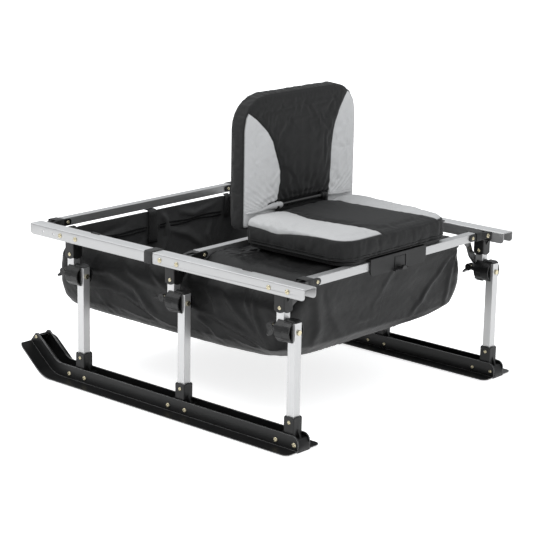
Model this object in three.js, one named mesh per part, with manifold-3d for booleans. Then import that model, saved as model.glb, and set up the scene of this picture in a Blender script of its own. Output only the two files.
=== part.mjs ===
// A folding ice fishing sled: two skis on six fold-down legs carry a rail frame with a
// hanging gear bag and a clip-on padded seat. Millimetres, +Z up, X along the skis with
// their tips at -X, left side at -Y. The origin is on the ground under the middle of the sled.
import * as THREE from "three";
import { mergeVertices } from "three/addons/utils/BufferGeometryUtils.js";
import Module from "manifold-3d";

const wasm = await Module();
wasm.setup();

// Driving dimensions of the whole sled
const sledLength = 865; // ski tip to the rear end of the rails
const track = 724; // between the centre lines of the two rails
const deckHeight = 362; // top of the rails above the ground
const hubDrop = 103; // fold axis below the top of the rails
const rearOverhang = 73.5; // rear leg to the rear end of the rails
const rearPitchShare = 0.378; // middle leg to rear leg, of the rail length
const frontPitchShare = 0.3837;
const seatClearance = 0.3; // between pieces that seat on each other
const runningClearance = 0.4; // round a pin that turns
const overrun = 5; // how far a cutter passes the face that it opens
const mergeTolerance = 0.0001;
const arcDetail = 3; // segments of a quarter arc are twice this
const roundDetail = 6;
const holeDetail = 4;

// Rails
const railSetback = 5; // front end of the rails behind the ski tips
const railWidth = 38;
const railHeight = 26;
const railSheet = 2;
const railBend = 3.4;
const railCornerRadius = 9;
const railScrewDrop = 14; // below the top of the rail
const railScrewPitch = 52.4;
const railScrewHole = 3.2;
const spareHole = 2.2;
const spareHoleSetback = 45.5; // from the front end of the rail
const spareHolePitch = 36;

// Crossbars and their end clips
const barSize = 20;
const barWall = 2;
const barCorner = 1.2;
const barEndGap = 46; // end of the bar to the inner face of the rail
const frontBarSetback = 12.5; // from the front end of the rail
const middleBarShift = 6; // behind the middle leg
const rearBarShift = 14; // behind the rear leg
const clipCheek = 3;
const clipGrip = 25; // how far the cheeks reach along the bar
const clipPlateWidth = 24;
const clipPlateHeight = 23;
const clipPlateThickness = 4;
const clipPlateShift = 14; // plate centre behind the bar centre
const clipPlateCorner = 6;
const clipNeck = 13;
const clipRelief = 3; // how far the clip body is lower than the bar

// Leg tubes
const tubeSize = 21;
const tubeWall = 1.8;
const legShift = 33; // lower tube behind the upper tube
const tubePast = 21; // tube end beyond the fold axis

// Sockets under the rail
const footLength = 76;
const footHeight = 22;
const footEndSlope = 7;
const sleeveSize = 29;
const sleeveCorner = 2.5;
const sleeveSteps = [2, 6, 6]; // of the corners and the sides across and up
const socketDrop = 65.5; // rail top to the lowest point of the socket
const socketTop = 1.2; // chamfer of the foot where it meets the bend of the rail
const socketSag = 4.5; // how much the curved lower edge drops in the middle
const gussetReach = 9;
const gussetHeight = 26;
const gussetThickness = 5;

// Hub halves
const hubRadius = 26;
const hubHalf = 20; // thickness of one half
const hubRimWall = 3.2;
const hubBossWall = 3;
const hubFaceToTube = 6;
const hubGripNotches = 10;
const hubNotchDepth = 1.1;
const hubNotchPitch = 24; // degrees between grip notches

// Clamp bolt and cam lever
const boltRadius = 4;
const boltHeadRadius = 6.2;
const boltHeadHeight = 3.6;
const crossPinRadius = 2.5;
const leverSetback = 33; // cross pin in front of the upper tube centre
const crossPinLength = 15;
const boltPastPin = 3.6;
const collarRadius = 8;
const camRadius = 8.9;
const camThrow = 0.6; // how far the cam stands off its pin
const camWidth = 15;
const leverSlot = 9;
const leverSlotFloor = 6.2; // below the pin
const leverLength = 23;
const leverThickness = 5;
const leverTipThickness = 3.5;
const leverTipWidth = 18;
const leverCorner = 4;
const leverRootShare = 0.4; // where the paddle starts to widen
const leverRests = { front: 50, middle: 78, rear: 45 }; // degrees that the levers stand off
const leverRestRearLeft = 14;

// Braces
const braceWidth = 18;
const braceThickness = 3;
const braceKneeHeight = 14;
const braceKneeReach = 2;
const braceTopReach = 78; // from the hub axis in to the lug screw
const braceHole = 2.6;
const joggleStartShare = 0.35; // where the brace starts to step over to the crossbar
const joggleEndShare = 0.7;

// Ski brackets and skis
const bracketShift = 28.7; // bracket foot behind the upper tube
const bracketScrewPitch = 52;
const bracketTop = 73; // sleeve top above the ground
const bracketDip = 3; // how far the corners of the sleeve dip
const bracketFootTop = 28;
const bracketFootEnd = 12;
const tubeFoot = 14; // lower end of the lower tube above the ground
const skiWidth = 113;
const skiBase = 4;
const skiRimReach = 8; // rim of the base beyond its sole
const skiRimThickness = 1.6;
const skiChannel = 40;
const skiWall = 3;
const skiWallTop = 36;
const skiRearSetback = 8; // rear end of the ski before the rear end of the rails
const skiTipReach = 83.5; // corner of the upturn to the tip, along the ground
const skiTipAngle = 39; // degrees
const skiBendRadius = 75;
const skiBendSteps = 8;
const skiCorner = 14;
const cornerSteps = 4;
const skiTipCorner = 14;
const skiWallRound = 16;
const skiTipRound = 8;
const skiBoltHeight = 16;
const skiBoltHole = 3.2;
const spreaderThickness = 5;

// Gear bag
const bagWall = 2.5;
const bagFrontGap = 14; // front hem behind the middle of the front crossbar
const bagRearGap = 13; // rear hem before the middle of the rear crossbar
const bagSideGap = 59; // hem inside the inner flange of the rail
const bagHemDrop = 24; // below the top of the rails
const bagDepth = 187; // hem to floor
const bagCornerRadius = 36;
const bagBulge = 44; // how far the sides stand out over the hem
const bagFrontRound = 66; // how far the floor draws in at the front
const bagRearRound = 84;
const bagLevelShares = [0, 0.02, 0.08, 0.19, 0.36, 0.53, 0.71, 0.82, 0.91, 1]; // floor to hem
const bagSideShares = [-0.5, 0, 0.34, 0.77, 0.95, 0.98, 0.92, 0.58, 0.25, 0]; // of the bulge there
const bagFrontShares = [0.9, 0.5, 0.18, 0.06, 0, 0, 0, 0, 0, 0];
const bagRearShares = [1, 0.86, 0.69, 0.36, 0.29, 0.24, 0.11, 0.07, 0.035, 0];
const bagSteps = [2, 8, 6]; // of the corners, the ends and the sides
const bagFoldDepth = 2;
const bagFoldCount = 5;
const deckDrop = 10; // cloth deck below the top of the rails
const deckShoulderDrop = 18;
const deckShoulderInset = 16; // from the hem
const deckEdgeInset = 28;
const deckSagInset = 42; // from the edge of the deck
const deckMiddleInset = 122;
const deckSag = 7;
const deckSagShare = 0.57;
const deckSteps = [2, 4, 4];
const deckGap = 12; // front edge of the deck behind the middle of the middle crossbar
const rearStrapInset = 97; // tabs of the rear hem from the rail
const strapTailDrop = 8;
const strapWidth = 25;
const strapSheet = 1.5;
const railStrapSetback = 62; // in front of the middle leg

// Seat
const seatOffset = 5; // the seat is clipped on a little right of the middle
const seatWidth = 392;
const seatLead = 13; // leading edge of the cushion past the middle of the rear crossbar
const seatThickness = 60;
const seatWedge = 8; // how much higher the seat is at the backrest
const seatCrown = 7;
const seatCornerRadius = 52;
const seatRearCorner = 16;
const cushionSeam = 3; // how far the seams draw the sides in
const seatEdge = 6; // rounding of the upper edge
const backEdge = 6;
const edgeShares = [0.33, 0.67]; // of the quarter turn of the edge that get a ring
const crownInsetShares = [0, 0.07, 0.2, 0.45, 0.8];
const crownRiseShares = [0, 0.4, 0.72, 0.93, 1];
const seamShares = [0, 0.07, 0.2, 0.5, 0.85, 1]; // heights of the side rings
const seamDraws = [1.5, 0.6, 0.5, 0, 0.6, 1]; // shares of the seam depth drawn in there
const seatSteps = [4, 6, 8];
const backSteps = [4, 8, 6];
const backWidth = 408;
const backHeight = 312;
const backThickness = 38;
const backCrown = 4;
const backTopCorner = 80;
const backLowCorner = 14;
const backShift = 7; // of the backrest from the middle of the seat
const backRise = 30; // lower edge of the backrest above the rails
const backSetback = 45; // front face of the backrest behind the middle of the middle crossbar
const backGap = 2; // between seat and backrest
const boardThickness = 6;
const boardInset = 10;
const boardCorner = 22;
const clipPanelWidth = 202;
const clipPanelShift = -8; // from the middle of the seat
const clipPanelDrop = 32;
const clipPanelThickness = 4;
const clipPanelCorner = 12;
const tongueWidth = 36;
const tongueShift = -3; // from the middle of the seat
const tongueTop = 2; // below the top of the crossbar
const tongueDrop = 31;
const catchDepth = 2;
const catchHeight = 5;
const tongueSlit = 3.2;
const thumbTab = 8;
const thumbTabWidth = 50;
const thumbTabThickness = 3;
const hookDrop = 16;
const hookThickness = 4;
const hookWidth = 44;
const hookReach = 80; // hooks from the middle of the seat
const hingeRise = 78; // hinge rod above the rails
const hingeRodRadius = 4;
const hingeRodLength = 196;
const hingeEyeRadius = 8;
const hingeGroove = 9;
const earThickness = 6;
const earReach = 86; // ears of the seat base from the middle of the seat
const armShift = 8; // arms of the backrest board inside the ears
const ribHeight = 9;
const ribThickness = 3;
const ribPitch = 100;
const ribCount = 4;

// Places that follow from the sizes above
const halfTrack = track / 2;
const railLength = sledLength - railSetback;
const hubHeight = deckHeight - hubDrop;
const railRear = sledLength / 2;
const railFront = railRear - railLength;
const rearLegX = railRear - rearOverhang;
const middleLegX = rearLegX - rearPitchShare * railLength;
const frontLegX = middleLegX - frontPitchShare * railLength;
const railInner = halfTrack - railWidth / 2;
const railBottom = deckHeight - railHeight;
const splitX = tubeSize / 2 + hubFaceToTube;
const frontBarX = railFront + frontBarSetback;
const middleBarX = middleLegX + middleBarShift;
const rearBarX = rearLegX + rearBarShift;
const barHalfLength = railInner - barEndGap;
const barBottom = deckHeight - barSize;
const seatPlateTop = deckHeight + seatClearance + boardThickness;
const backMiddle = seatOffset + backShift;
const halfTurn = 180;
const degree = Math.PI / halfTurn;
const skiRear = railRear - skiRearSetback;
const skiKnee = sledLength / 2 - skiTipReach;
const bagFront = -frontBarX - bagFrontGap;
const bagRear = rearBarX - bagRearGap;
const bagHalfWidth = railInner - bagSideGap;
const bagHem = deckHeight - bagHemDrop;
const rearStrapReach = railInner - rearStrapInset;
const bagFloor = bagHem - bagDepth;
const deckTop = deckHeight - deckDrop;
const deckShoulder = deckHeight - deckShoulderDrop;
const deckStart = middleBarX + deckGap;
const seatFront = rearBarX + seatLead;
const backBottom = deckHeight + backRise;
const backFace = middleBarX + backSetback;
const hingeHeight = deckHeight + hingeRise;
const earSides = [-earReach, earReach];

const sides = [
  { name: "left", sign: -1 },
  { name: "right", sign: 1 },
];
const stations = [
  { name: "front", x: frontLegX, braced: false },
  { name: "middle", x: middleLegX, barX: middleBarX, braced: true },
  { name: "rear", x: rearLegX, barX: rearBarX, braced: true },
];
const bars = [
  { name: "front", x: frontBarX },
  { name: "middle", x: middleBarX },
  { name: "rear", x: rearBarX },
];

function finish(color, roughness, metalness) {
  return new THREE.MeshStandardMaterial({ color, roughness, metalness });
}

const aluminium = () => finish(0xc9cbcc, 0.38, 0.85);
const blackPlastic = () => finish(0x2b2b2d, 0.55, 0);
const steel = () => finish(0x1d1d1f, 0.35, 0.6);
const blackFabric = () => finish(0x1c1c1e, 0.9, 0);
const greyFabric = () => finish(0x2a2a2c, 0.85, 0);

// A closed mesh as a solid that can be joined and cut
function solid(geometry) {
  const bare = geometry.clone();
  for (const name of Object.keys(bare.attributes)) {
    if (name !== "position") bare.deleteAttribute(name);
  }
  const merged = mergeVertices(bare, mergeTolerance);
  return new wasm.Manifold(
    new wasm.Mesh({
      numProp: 3,
      vertProperties: merged.attributes.position.array,
      triVerts: new Uint32Array(merged.index.array),
    }),
  );
}

// The solid's mesh as a flat-shaded geometry
function geometryOf(body) {
  const mesh = body.getMesh();
  const geometry = new THREE.BufferGeometry();
  geometry.setAttribute("position", new THREE.BufferAttribute(mesh.vertProperties, 3));
  geometry.setIndex(new THREE.BufferAttribute(mesh.triVerts, 1));
  const flat = geometry.toNonIndexed();
  flat.computeVertexNormals();
  return flat;
}

function extrude(shape, length, detail) {
  return new THREE.ExtrudeGeometry(shape, { depth: length, bevelEnabled: false, curveSegments: detail });
}

// A shape drawn in (y, z) and drawn out along X
function alongX(shape, from, to, detail = arcDetail) {
  const turn = new THREE.Matrix4().set(0, 0, 1, from, 1, 0, 0, 0, 0, 1, 0, 0, 0, 0, 0, 1);
  return solid(extrude(shape, to - from, detail).applyMatrix4(turn));
}

// A shape drawn in (x, z) and drawn out along Y
function alongY(shape, from, to, detail = arcDetail) {
  const turn = new THREE.Matrix4().set(1, 0, 0, 0, 0, 0, -1, to, 0, 1, 0, 0, 0, 0, 0, 1);
  return solid(extrude(shape, to - from, detail).applyMatrix4(turn));
}

// A shape drawn in (x, y) and drawn out along Z
function alongZ(shape, from, to, detail = arcDetail) {
  return solid(extrude(shape, to - from, detail).translate(0, 0, from));
}

function polygon(points) {
  return new THREE.Shape(points.map(([u, v]) => new THREE.Vector2(u, v)));
}

function disc(u, v, radius) {
  const shape = new THREE.Shape();
  shape.absarc(u, v, radius, 0, 2 * Math.PI, false);
  return shape;
}

// A rectangle with a radius for each corner: low left, low right, high right, high left
function rectangle(left, low, right, high, corners = [0, 0, 0, 0]) {
  const [lowLeft, lowRight, highRight, highLeft] = corners;
  const shape = new THREE.Shape();
  shape.moveTo(left + lowLeft, low);
  shape.lineTo(right - lowRight, low);
  if (lowRight) shape.absarc(right - lowRight, low + lowRight, lowRight, -Math.PI / 2, 0, false);
  shape.lineTo(right, high - highRight);
  if (highRight) shape.absarc(right - highRight, high - highRight, highRight, 0, Math.PI / 2, false);
  shape.lineTo(left + highLeft, high);
  if (highLeft) shape.absarc(left + highLeft, high - highLeft, highLeft, Math.PI / 2, Math.PI, false);
  shape.lineTo(left, low + lowLeft);
  if (lowLeft) shape.absarc(left + lowLeft, low + lowLeft, lowLeft, Math.PI, 1.5 * Math.PI, false);
  return shape;
}

function square(size, corner = 0) {
  const half = size / 2;
  return rectangle(-half, -half, half, half, [corner, corner, corner, corner]);
}

// A closed skin over rings of points, each ring anticlockwise seen from the last one's side
function loft(rings) {
  const count = rings[0].length;
  const points = rings.flat();
  const middle = (ring) => ring.reduce((sum, p) => sum.add(p), new THREE.Vector3()).divideScalar(count);
  const first = points.push(middle(rings[0])) - 1;
  const last = points.push(middle(rings[rings.length - 1])) - 1;
  const index = [];
  for (let r = 0; r + 1 < rings.length; r++) {
    for (let i = 0; i < count; i++) {
      const a = r * count + i;
      const b = r * count + ((i + 1) % count);
      index.push(a, b, b + count, a, b + count, a + count);
    }
  }
  const top = (rings.length - 1) * count;
  for (let i = 0; i < count; i++) {
    const next = (i + 1) % count;
    index.push(first, next, i, last, top + i, top + next);
  }
  const geometry = new THREE.BufferGeometry().setFromPoints(points);
  geometry.setIndex(index);
  return solid(geometry);
}

// Points round a rectangle with rounded corners, with extra points along its sides
function outline(left, low, right, high, corners, cornerSteps, acrossSteps, upSteps) {
  const [lowLeft, lowRight, highRight, highLeft] = corners;
  const centres = [
    [right - lowRight, low + lowRight, lowRight, -Math.PI / 2],
    [right - highRight, high - highRight, highRight, 0],
    [left + highLeft, high - highLeft, highLeft, Math.PI / 2],
    [left + lowLeft, low + lowLeft, lowLeft, Math.PI],
  ];
  const corner = ([u, v, radius, start], step) => {
    const angle = start + ((Math.PI / 2) * step) / cornerSteps;
    return [u + radius * Math.cos(angle), v + radius * Math.sin(angle)];
  };
  const points = [];
  centres.forEach((centre, k) => {
    for (let step = 0; step <= cornerSteps; step++) points.push(corner(centre, step));
    const from = points[points.length - 1];
    const to = corner(centres[(k + 1) % 4], 0);
    const steps = k % 2 === 0 ? upSteps : acrossSteps;
    for (let step = 1; step < steps; step++) {
      const share = step / steps;
      points.push([from[0] + (to[0] - from[0]) * share, from[1] + (to[1] - from[1]) * share]);
    }
  });
  return points;
}

// Rail: an inverted channel with rounded lower corners and its screw holes
function rail() {
  const half = railWidth / 2;
  const inside = railBend - railSheet;
  const section = rectangle(-half, railBottom - overrun, half, deckHeight, [0, 0, railBend, railBend]);
  const hollow = rectangle(
    railSheet - half,
    railBottom - 2 * overrun,
    half - railSheet,
    deckHeight - railSheet,
    [0, 0, inside, inside],
  );
  const corners = [railCornerRadius, railCornerRadius, 0, 0];
  const side = rectangle(railFront, railBottom, railRear, deckHeight + overrun, corners);
  let body = alongX(section, railFront, railRear, 1);
  body = body.subtract(alongX(hollow, railFront - overrun, railRear + overrun, 1));
  body = body.intersect(alongY(side, -railWidth, railWidth, 2));
  const screwHeight = deckHeight - railScrewDrop;
  const hole = (x, radius) => alongY(disc(x, screwHeight, radius), -railWidth, 0, holeDetail);
  for (const station of stations) {
    body = body.subtract(hole(station.x - railScrewPitch / 2, railScrewHole));
    body = body.subtract(hole(station.x + railScrewPitch / 2, railScrewHole));
  }
  for (const past of [0, spareHolePitch]) {
    body = body.subtract(hole(railFront + spareHoleSetback + past, spareHole));
  }
  return body;
}

// Crossbar: a square tube between the end clips
function crossbar() {
  const tube = alongY(square(barSize, barCorner), -barHalfLength, barHalfLength, 1);
  const bore = square(barSize - 2 * barWall);
  return tube.subtract(alongY(bore, -barHalfLength - overrun, barHalfLength + overrun));
}

// Clip that carries the end of a crossbar on the inner flange of the rail. Its own frame
// has the middle of the bar's section at x = z = 0 and the rail's flange at y = 0.
function crossbarClip() {
  const fit = barSize / 2 + seatClearance;
  const cheek = fit + clipCheek;
  const reach = barEndGap + clipGrip;
  const plateLeft = clipPlateShift - clipPlateWidth / 2;
  const plateRight = clipPlateShift + clipPlateWidth / 2;
  const plateBack = seatClearance + clipPlateThickness;
  const plan = polygon([
    [plateLeft, seatClearance],
    [plateRight, seatClearance],
    [plateRight, plateBack],
    [clipPlateShift + clipNeck / 2, 2 * plateBack],
    [cheek, barEndGap - clipNeck],
    [cheek, reach],
    [-cheek, reach],
    [-cheek, barEndGap - clipNeck / 2],
    [plateLeft - clipNeck / 2, 2 * plateBack],
    [plateLeft, plateBack],
  ]);
  const half = barSize / 2 - clipRelief / 2;
  const plateLow = -clipPlateHeight / 2 - clipRelief;
  const corners = [clipPlateCorner, clipPlateCorner, clipPlateCorner, clipPlateCorner];
  const plate = rectangle(plateLeft, plateLow, plateRight, plateLow + clipPlateHeight, corners);
  const slot = rectangle(-fit, barEndGap - seatClearance, fit, reach + overrun);
  const pocket = rectangle(plateLeft, 2 * plateBack, clipPlateShift, barEndGap - clipNeck);
  let body = alongZ(plan, -half, half);
  body = body.intersect(clipEnd(reach, half, cheek));
  body = body.add(alongY(plate, seatClearance, plateBack, 1));
  body = body.subtract(alongZ(slot, -barSize, barSize));
  body = body.subtract(alongZ(pocket, half - clipRelief, barSize));
  return body.subtract(alongZ(pocket, -barSize, clipRelief - half));
}

// Side view of the clip: its free end is rounded round the lug screw
function clipEnd(reach, half, cheek) {
  const shape = new THREE.Shape();
  shape.moveTo(0, -half);
  shape.lineTo(reach - half, -half);
  shape.absarc(reach - half, 0, half, -Math.PI / 2, Math.PI / 2, false);
  shape.lineTo(0, half);
  return alongX(shape, -2 * cheek, 2 * cheek, 2);
}

// Square sleeve whose ends dip or rise between corner and middle of each side
function sleeve(lowCorner, lowMiddle, highCorner, highMiddle) {
  const half = sleeveSize / 2;
  const corners = [sleeveCorner, sleeveCorner, sleeveCorner, sleeveCorner];
  const points = outline(-half, -half, half, half, corners, ...sleeveSteps);
  const ring = (corner, middle) =>
    points.map(([u, v]) => {
      const away = Math.min(Math.abs(u), Math.abs(v)) / half;
      return new THREE.Vector3(u, v, middle + (corner - middle) * away * away);
    });
  return loft([ring(lowCorner, lowMiddle), ring(highCorner, highMiddle)]);
}

// Socket in the rail with the short upper tube that it carries. Its own frame has the
// middle of the tube at x = y = 0, heights are above the ground.
function legSocket() {
  const fit = railWidth / 2 - railSheet - seatClearance;
  const top = deckHeight - railSheet - seatClearance;
  const foot = polygon([
    [-footLength / 2 + footEndSlope, top - footHeight],
    [footLength / 2 - footEndSlope, top - footHeight],
    [footLength / 2, top],
    [-footLength / 2, top],
  ]);
  const bends = [0, 0, railBend - railSheet + socketTop, railBend - railSheet + socketTop];
  const footSection = rectangle(-fit, top - footHeight - overrun, fit, top, bends);
  const low = deckHeight - socketDrop;
  const root = top - footHeight;
  const gusset = polygon([
    [-sleeveSize / 2 - gussetReach, root + overrun],
    [-sleeveSize / 2 - gussetReach, root],
    [-sleeveSize / 2 + gussetThickness, root - gussetHeight],
    [sleeveSize / 2 - gussetThickness, root - gussetHeight],
    [sleeveSize / 2 + gussetReach, root],
    [sleeveSize / 2 + gussetReach, root + overrun],
  ]);
  const tubeLow = hubHeight - tubePast;
  const bore = square(tubeSize - 2 * tubeWall);
  const bolt = disc(0, hubHeight, boltRadius + runningClearance);
  let body = alongY(foot, -fit, fit).intersect(alongX(footSection, -footLength, footLength, 1));
  body = body.add(sleeve(low + socketSag, low, top - overrun, top - overrun));
  body = body.add(alongY(gusset, -gussetThickness / 2, gussetThickness / 2));
  body = body.add(alongZ(square(tubeSize, barCorner), tubeLow, top - overrun, 1));
  body = body.subtract(alongZ(bore, tubeLow - overrun, root));
  return body.subtract(alongX(bolt, -tubeSize, tubeSize, holeDetail));
}

// One hub half, lying against the split plane, its tube running up. Its own frame has the
// bolt along X and the middle of the tube at x = 0, the split plane behind it.
function hubBody() {
  const back = splitX - seatClearance / 2;
  const front = back - hubHalf;
  const boss = tubeSize / 2 + seatClearance + hubBossWall;
  const fit = tubeSize / 2 + seatClearance;
  const floor = -tubePast - seatClearance;
  const rim = hubRadius - hubRimWall;
  let body = alongX(disc(0, 0, hubRadius), front, back, roundDetail);
  const recess = alongX(disc(0, 0, rim), front - overrun, fit + hubBossWall, roundDetail);
  const bossBlock = alongX(rectangle(-boss, -hubRadius, boss, hubRadius), front - overrun, back);
  body = body.subtract(recess.subtract(bossBlock));
  const cap = polygon([
    [back - hubHalf, floor],
    [-tubeSize / 2, floor],
    [-tubeSize / 2, floor - seatClearance],
    [front, -hubRadius + seatClearance],
    [back - hubBossWall, -hubRadius + seatClearance],
    [back - hubBossWall, floor],
  ]);
  body = body.add(alongY(cap, -fit, fit));
  const channel = rectangle(-fit, floor, fit, hubRadius + overrun);
  body = body.subtract(alongX(channel, -hubHalf, fit));
  for (let k = 0; k < hubGripNotches; k++) {
    const angle = (k - (hubGripNotches - 1) / 2) * hubNotchPitch * degree;
    const v = -hubRadius * Math.cos(angle);
    const u = hubRadius * Math.sin(angle);
    if (Math.abs(u) < boss) continue;
    body = body.subtract(alongX(disc(u, v, hubNotchDepth), front - overrun, back, arcDetail));
  }
  return body;
}

// Upper hub half with the clamp bolt, its collar and the cross pin of the cam lever
function upperHub(hasBrace) {
  const lowerTube = legShift + tubeSize / 2;
  const headStart = lowerTube + seatClearance;
  const pinX = -leverSetback;
  const collarEnd = -tubeSize / 2 - seatClearance - (hasBrace ? braceThickness + seatClearance : 0);
  const collarStart = pinX + camRadius + camThrow + seatClearance;
  const half = crossPinLength / 2;
  let body = hubBody();
  const headEnd = headStart + boltHeadHeight;
  body = body.add(alongX(disc(0, 0, boltRadius), pinX - boltPastPin, headEnd, holeDetail));
  body = body.add(alongX(disc(0, 0, boltHeadRadius), headStart, headEnd, arcDetail));
  body = body.add(alongX(disc(0, 0, collarRadius), collarStart, collarEnd, roundDetail));
  return body.add(alongY(disc(pinX, 0, crossPinRadius), -half, half, holeDetail));
}

// Lower hub half: the same moulding turned over, with a clear hole for the bolt
function lowerHub() {
  const hole = alongX(disc(0, 0, boltRadius + runningClearance), -2 * hubHalf, 2 * hubHalf, holeDetail);
  return hubBody().subtract(hole);
}

// Lower leg tube with the bolt hole at its upper end, heights above the ground
function lowerTube() {
  const top = hubHeight + tubePast;
  const bore = square(tubeSize - 2 * tubeWall);
  const bolt = disc(0, hubHeight, boltRadius + runningClearance);
  let body = alongZ(square(tubeSize, barCorner), tubeFoot, top, 1);
  body = body.subtract(alongZ(bore, tubeFoot - overrun, top + overrun));
  return body.subtract(alongX(bolt, -tubeSize, tubeSize, holeDetail));
}

// Ski bracket: a foot in the channel of the ski and a sleeve round the lower tube
function skiBracket() {
  const fit = skiChannel / 2 - skiWall - seatClearance;
  const low = skiBase + seatClearance;
  const centre = bracketShift - legShift;
  const foot = polygon([
    [centre - footLength / 2, low],
    [centre + footLength / 2, low],
    [centre + footLength / 2, bracketFootEnd],
    [centre + footLength / 2 - footEndSlope, bracketFootTop],
    [centre - footLength / 2 + footEndSlope, bracketFootTop],
    [centre - footLength / 2, bracketFootEnd],
  ]);
  const rib = polygon([
    [-sleeveSize / 2 - gussetReach, bracketFootTop - overrun],
    [sleeveSize / 2 + gussetReach, bracketFootTop - overrun],
    [sleeveSize / 2 + gussetReach, bracketFootTop],
    [sleeveSize / 2 - gussetThickness, bracketTop - gussetHeight / 2],
    [-sleeveSize / 2 + gussetThickness, bracketTop - gussetHeight / 2],
    [-sleeveSize / 2 - gussetReach, bracketFootTop],
  ]);
  const pocket = square(tubeSize + 2 * seatClearance);
  let body = alongY(foot, -fit, fit);
  body = body.add(alongY(rib, -gussetThickness / 2, gussetThickness / 2));
  body = body.add(sleeve(low + overrun, low + overrun, bracketTop - bracketDip, bracketTop));
  body = body.subtract(alongZ(pocket, tubeFoot - seatClearance, bracketTop + overrun));
  return body;
}

// Side line of the ski at a height above its underside, from the rear to the tip
function skiLine(height) {
  const rise = skiTipAngle * degree;
  const radius = skiBendRadius - height;
  const start = -skiKnee + skiBendRadius * Math.tan(rise / 2);
  const points = [[skiRear, height]];
  for (let step = 0; step <= skiBendSteps; step++) {
    const angle = (rise * step) / skiBendSteps;
    points.push([start - radius * Math.sin(angle), skiBendRadius - radius * Math.cos(angle)]);
  }
  const tip = (sledLength / 2 - skiKnee) / Math.cos(rise);
  const along = [-Math.cos(rise), Math.sin(rise)];
  const up = [Math.sin(rise), Math.cos(rise)];
  points.push([-skiKnee + along[0] * tip + up[0] * height, along[1] * tip + up[1] * height]);
  return points;
}

// Side view between two heights of the ski
function skiSide(low, high) {
  return polygon([...skiLine(low), ...skiLine(high).reverse()]);
}

// Side view of one channel wall, its upper corners rounded at the rear and at the tip
function skiWallSide() {
  const top = skiLine(skiWallTop);
  const low = skiLine(0);
  const tip = top.pop();
  const lowTip = low[low.length - 1];
  const rise = skiTipAngle * degree;
  top.shift();
  const inward = [skiRear - skiWallTop, skiWallTop];
  const rear = roundPoints([skiRear, skiBase], [skiRear, skiWallTop], inward, skiWallRound);
  const back = [tip[0] + Math.cos(rise) * skiWallTop, tip[1] - Math.sin(rise) * skiWallTop];
  const front = roundPoints(back, tip, lowTip, skiTipRound);
  return polygon([...low, ...front.reverse(), ...top.reverse(), ...rear.reverse()]);
}

// Points of an arc that rounds the corner between two lines
function roundPoints(from, corner, to, radius) {
  const a = new THREE.Vector2(...from).sub(new THREE.Vector2(...corner)).normalize();
  const b = new THREE.Vector2(...to).sub(new THREE.Vector2(...corner)).normalize();
  const half = Math.acos(a.dot(b)) / 2;
  const centre = a.clone().add(b).normalize().multiplyScalar(radius / Math.sin(half));
  const reach = radius / Math.tan(half);
  const start = a.clone().multiplyScalar(reach).sub(centre).angle();
  let sweep = b.clone().multiplyScalar(reach).sub(centre).angle() - start;
  if (sweep > Math.PI) sweep -= 2 * Math.PI;
  if (sweep < -Math.PI) sweep += 2 * Math.PI;
  const points = [];
  for (let step = 0; step <= cornerSteps; step++) {
    const angle = start + (sweep * step) / cornerSteps;
    points.push([
      corner[0] + centre.x + radius * Math.cos(angle),
      corner[1] + centre.y + radius * Math.sin(angle),
    ]);
  }
  return points;
}

// Ski: a channel on a flat base, turned up at the tip, with a thinner rim round its sole
function ski() {
  const half = skiWidth / 2;
  const channel = skiChannel / 2;
  const sole = half - skiRimReach;
  const corners = [skiTipCorner, skiCorner, skiCorner, skiTipCorner];
  const plan = rectangle(-sledLength / 2, -half, skiRear, half, corners);
  const solePlan = rectangle(-sledLength / 2, -sole, skiRear - skiRimReach, sole, corners);
  const rim = alongY(skiSide(skiBase - skiRimThickness, skiBase), -half, half);
  let body = alongY(skiSide(0, skiBase - skiRimThickness / 2), -sole, sole);
  body = body.intersect(alongZ(solePlan, -overrun, sledLength, 2));
  body = body.add(rim.intersect(alongZ(plan, -overrun, sledLength, 2)));
  const walls = alongY(skiWallSide(), -channel, channel);
  const hollow = alongY(skiSide(skiBase, skiWallTop + overrun), skiWall - channel, channel - skiWall);
  const rearCut = alongY(
    rectangle(skiRear - overrun, skiBase, skiRear + overrun, skiWallTop + overrun),
    skiWall - channel,
    channel - skiWall,
  );
  const tipLine = skiLine(skiBase);
  const tip = tipLine[tipLine.length - 1];
  const rise = skiTipAngle * degree;
  const upTo = skiWallTop - skiBase - skiTipRound / 2;
  const across = [Math.cos(rise) * spreaderThickness, -Math.sin(rise) * spreaderThickness];
  const back = [tip[0] + across[0] * 2, tip[1] + across[1] * 2];
  const near = [tip[0] + across[0], tip[1] + across[1]];
  const lift = [Math.sin(rise) * upTo, Math.cos(rise) * upTo];
  const spreader = polygon([
    near,
    back,
    [back[0] + lift[0], back[1] + lift[1]],
    [near[0] + lift[0], near[1] + lift[1]],
  ]);
  body = body.add(walls.subtract(hollow).subtract(rearCut));
  body = body.add(alongY(spreader, -channel + skiWall / 2, channel - skiWall / 2));
  for (const station of stations) {
    for (const side of [-1, 1]) {
      const x = station.x + bracketShift + (side * bracketScrewPitch) / 2;
      body = body.subtract(alongY(disc(x, skiBoltHeight, skiBoltHole), -skiWidth, skiWidth, holeDetail));
    }
  }
  return body;
}

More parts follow.
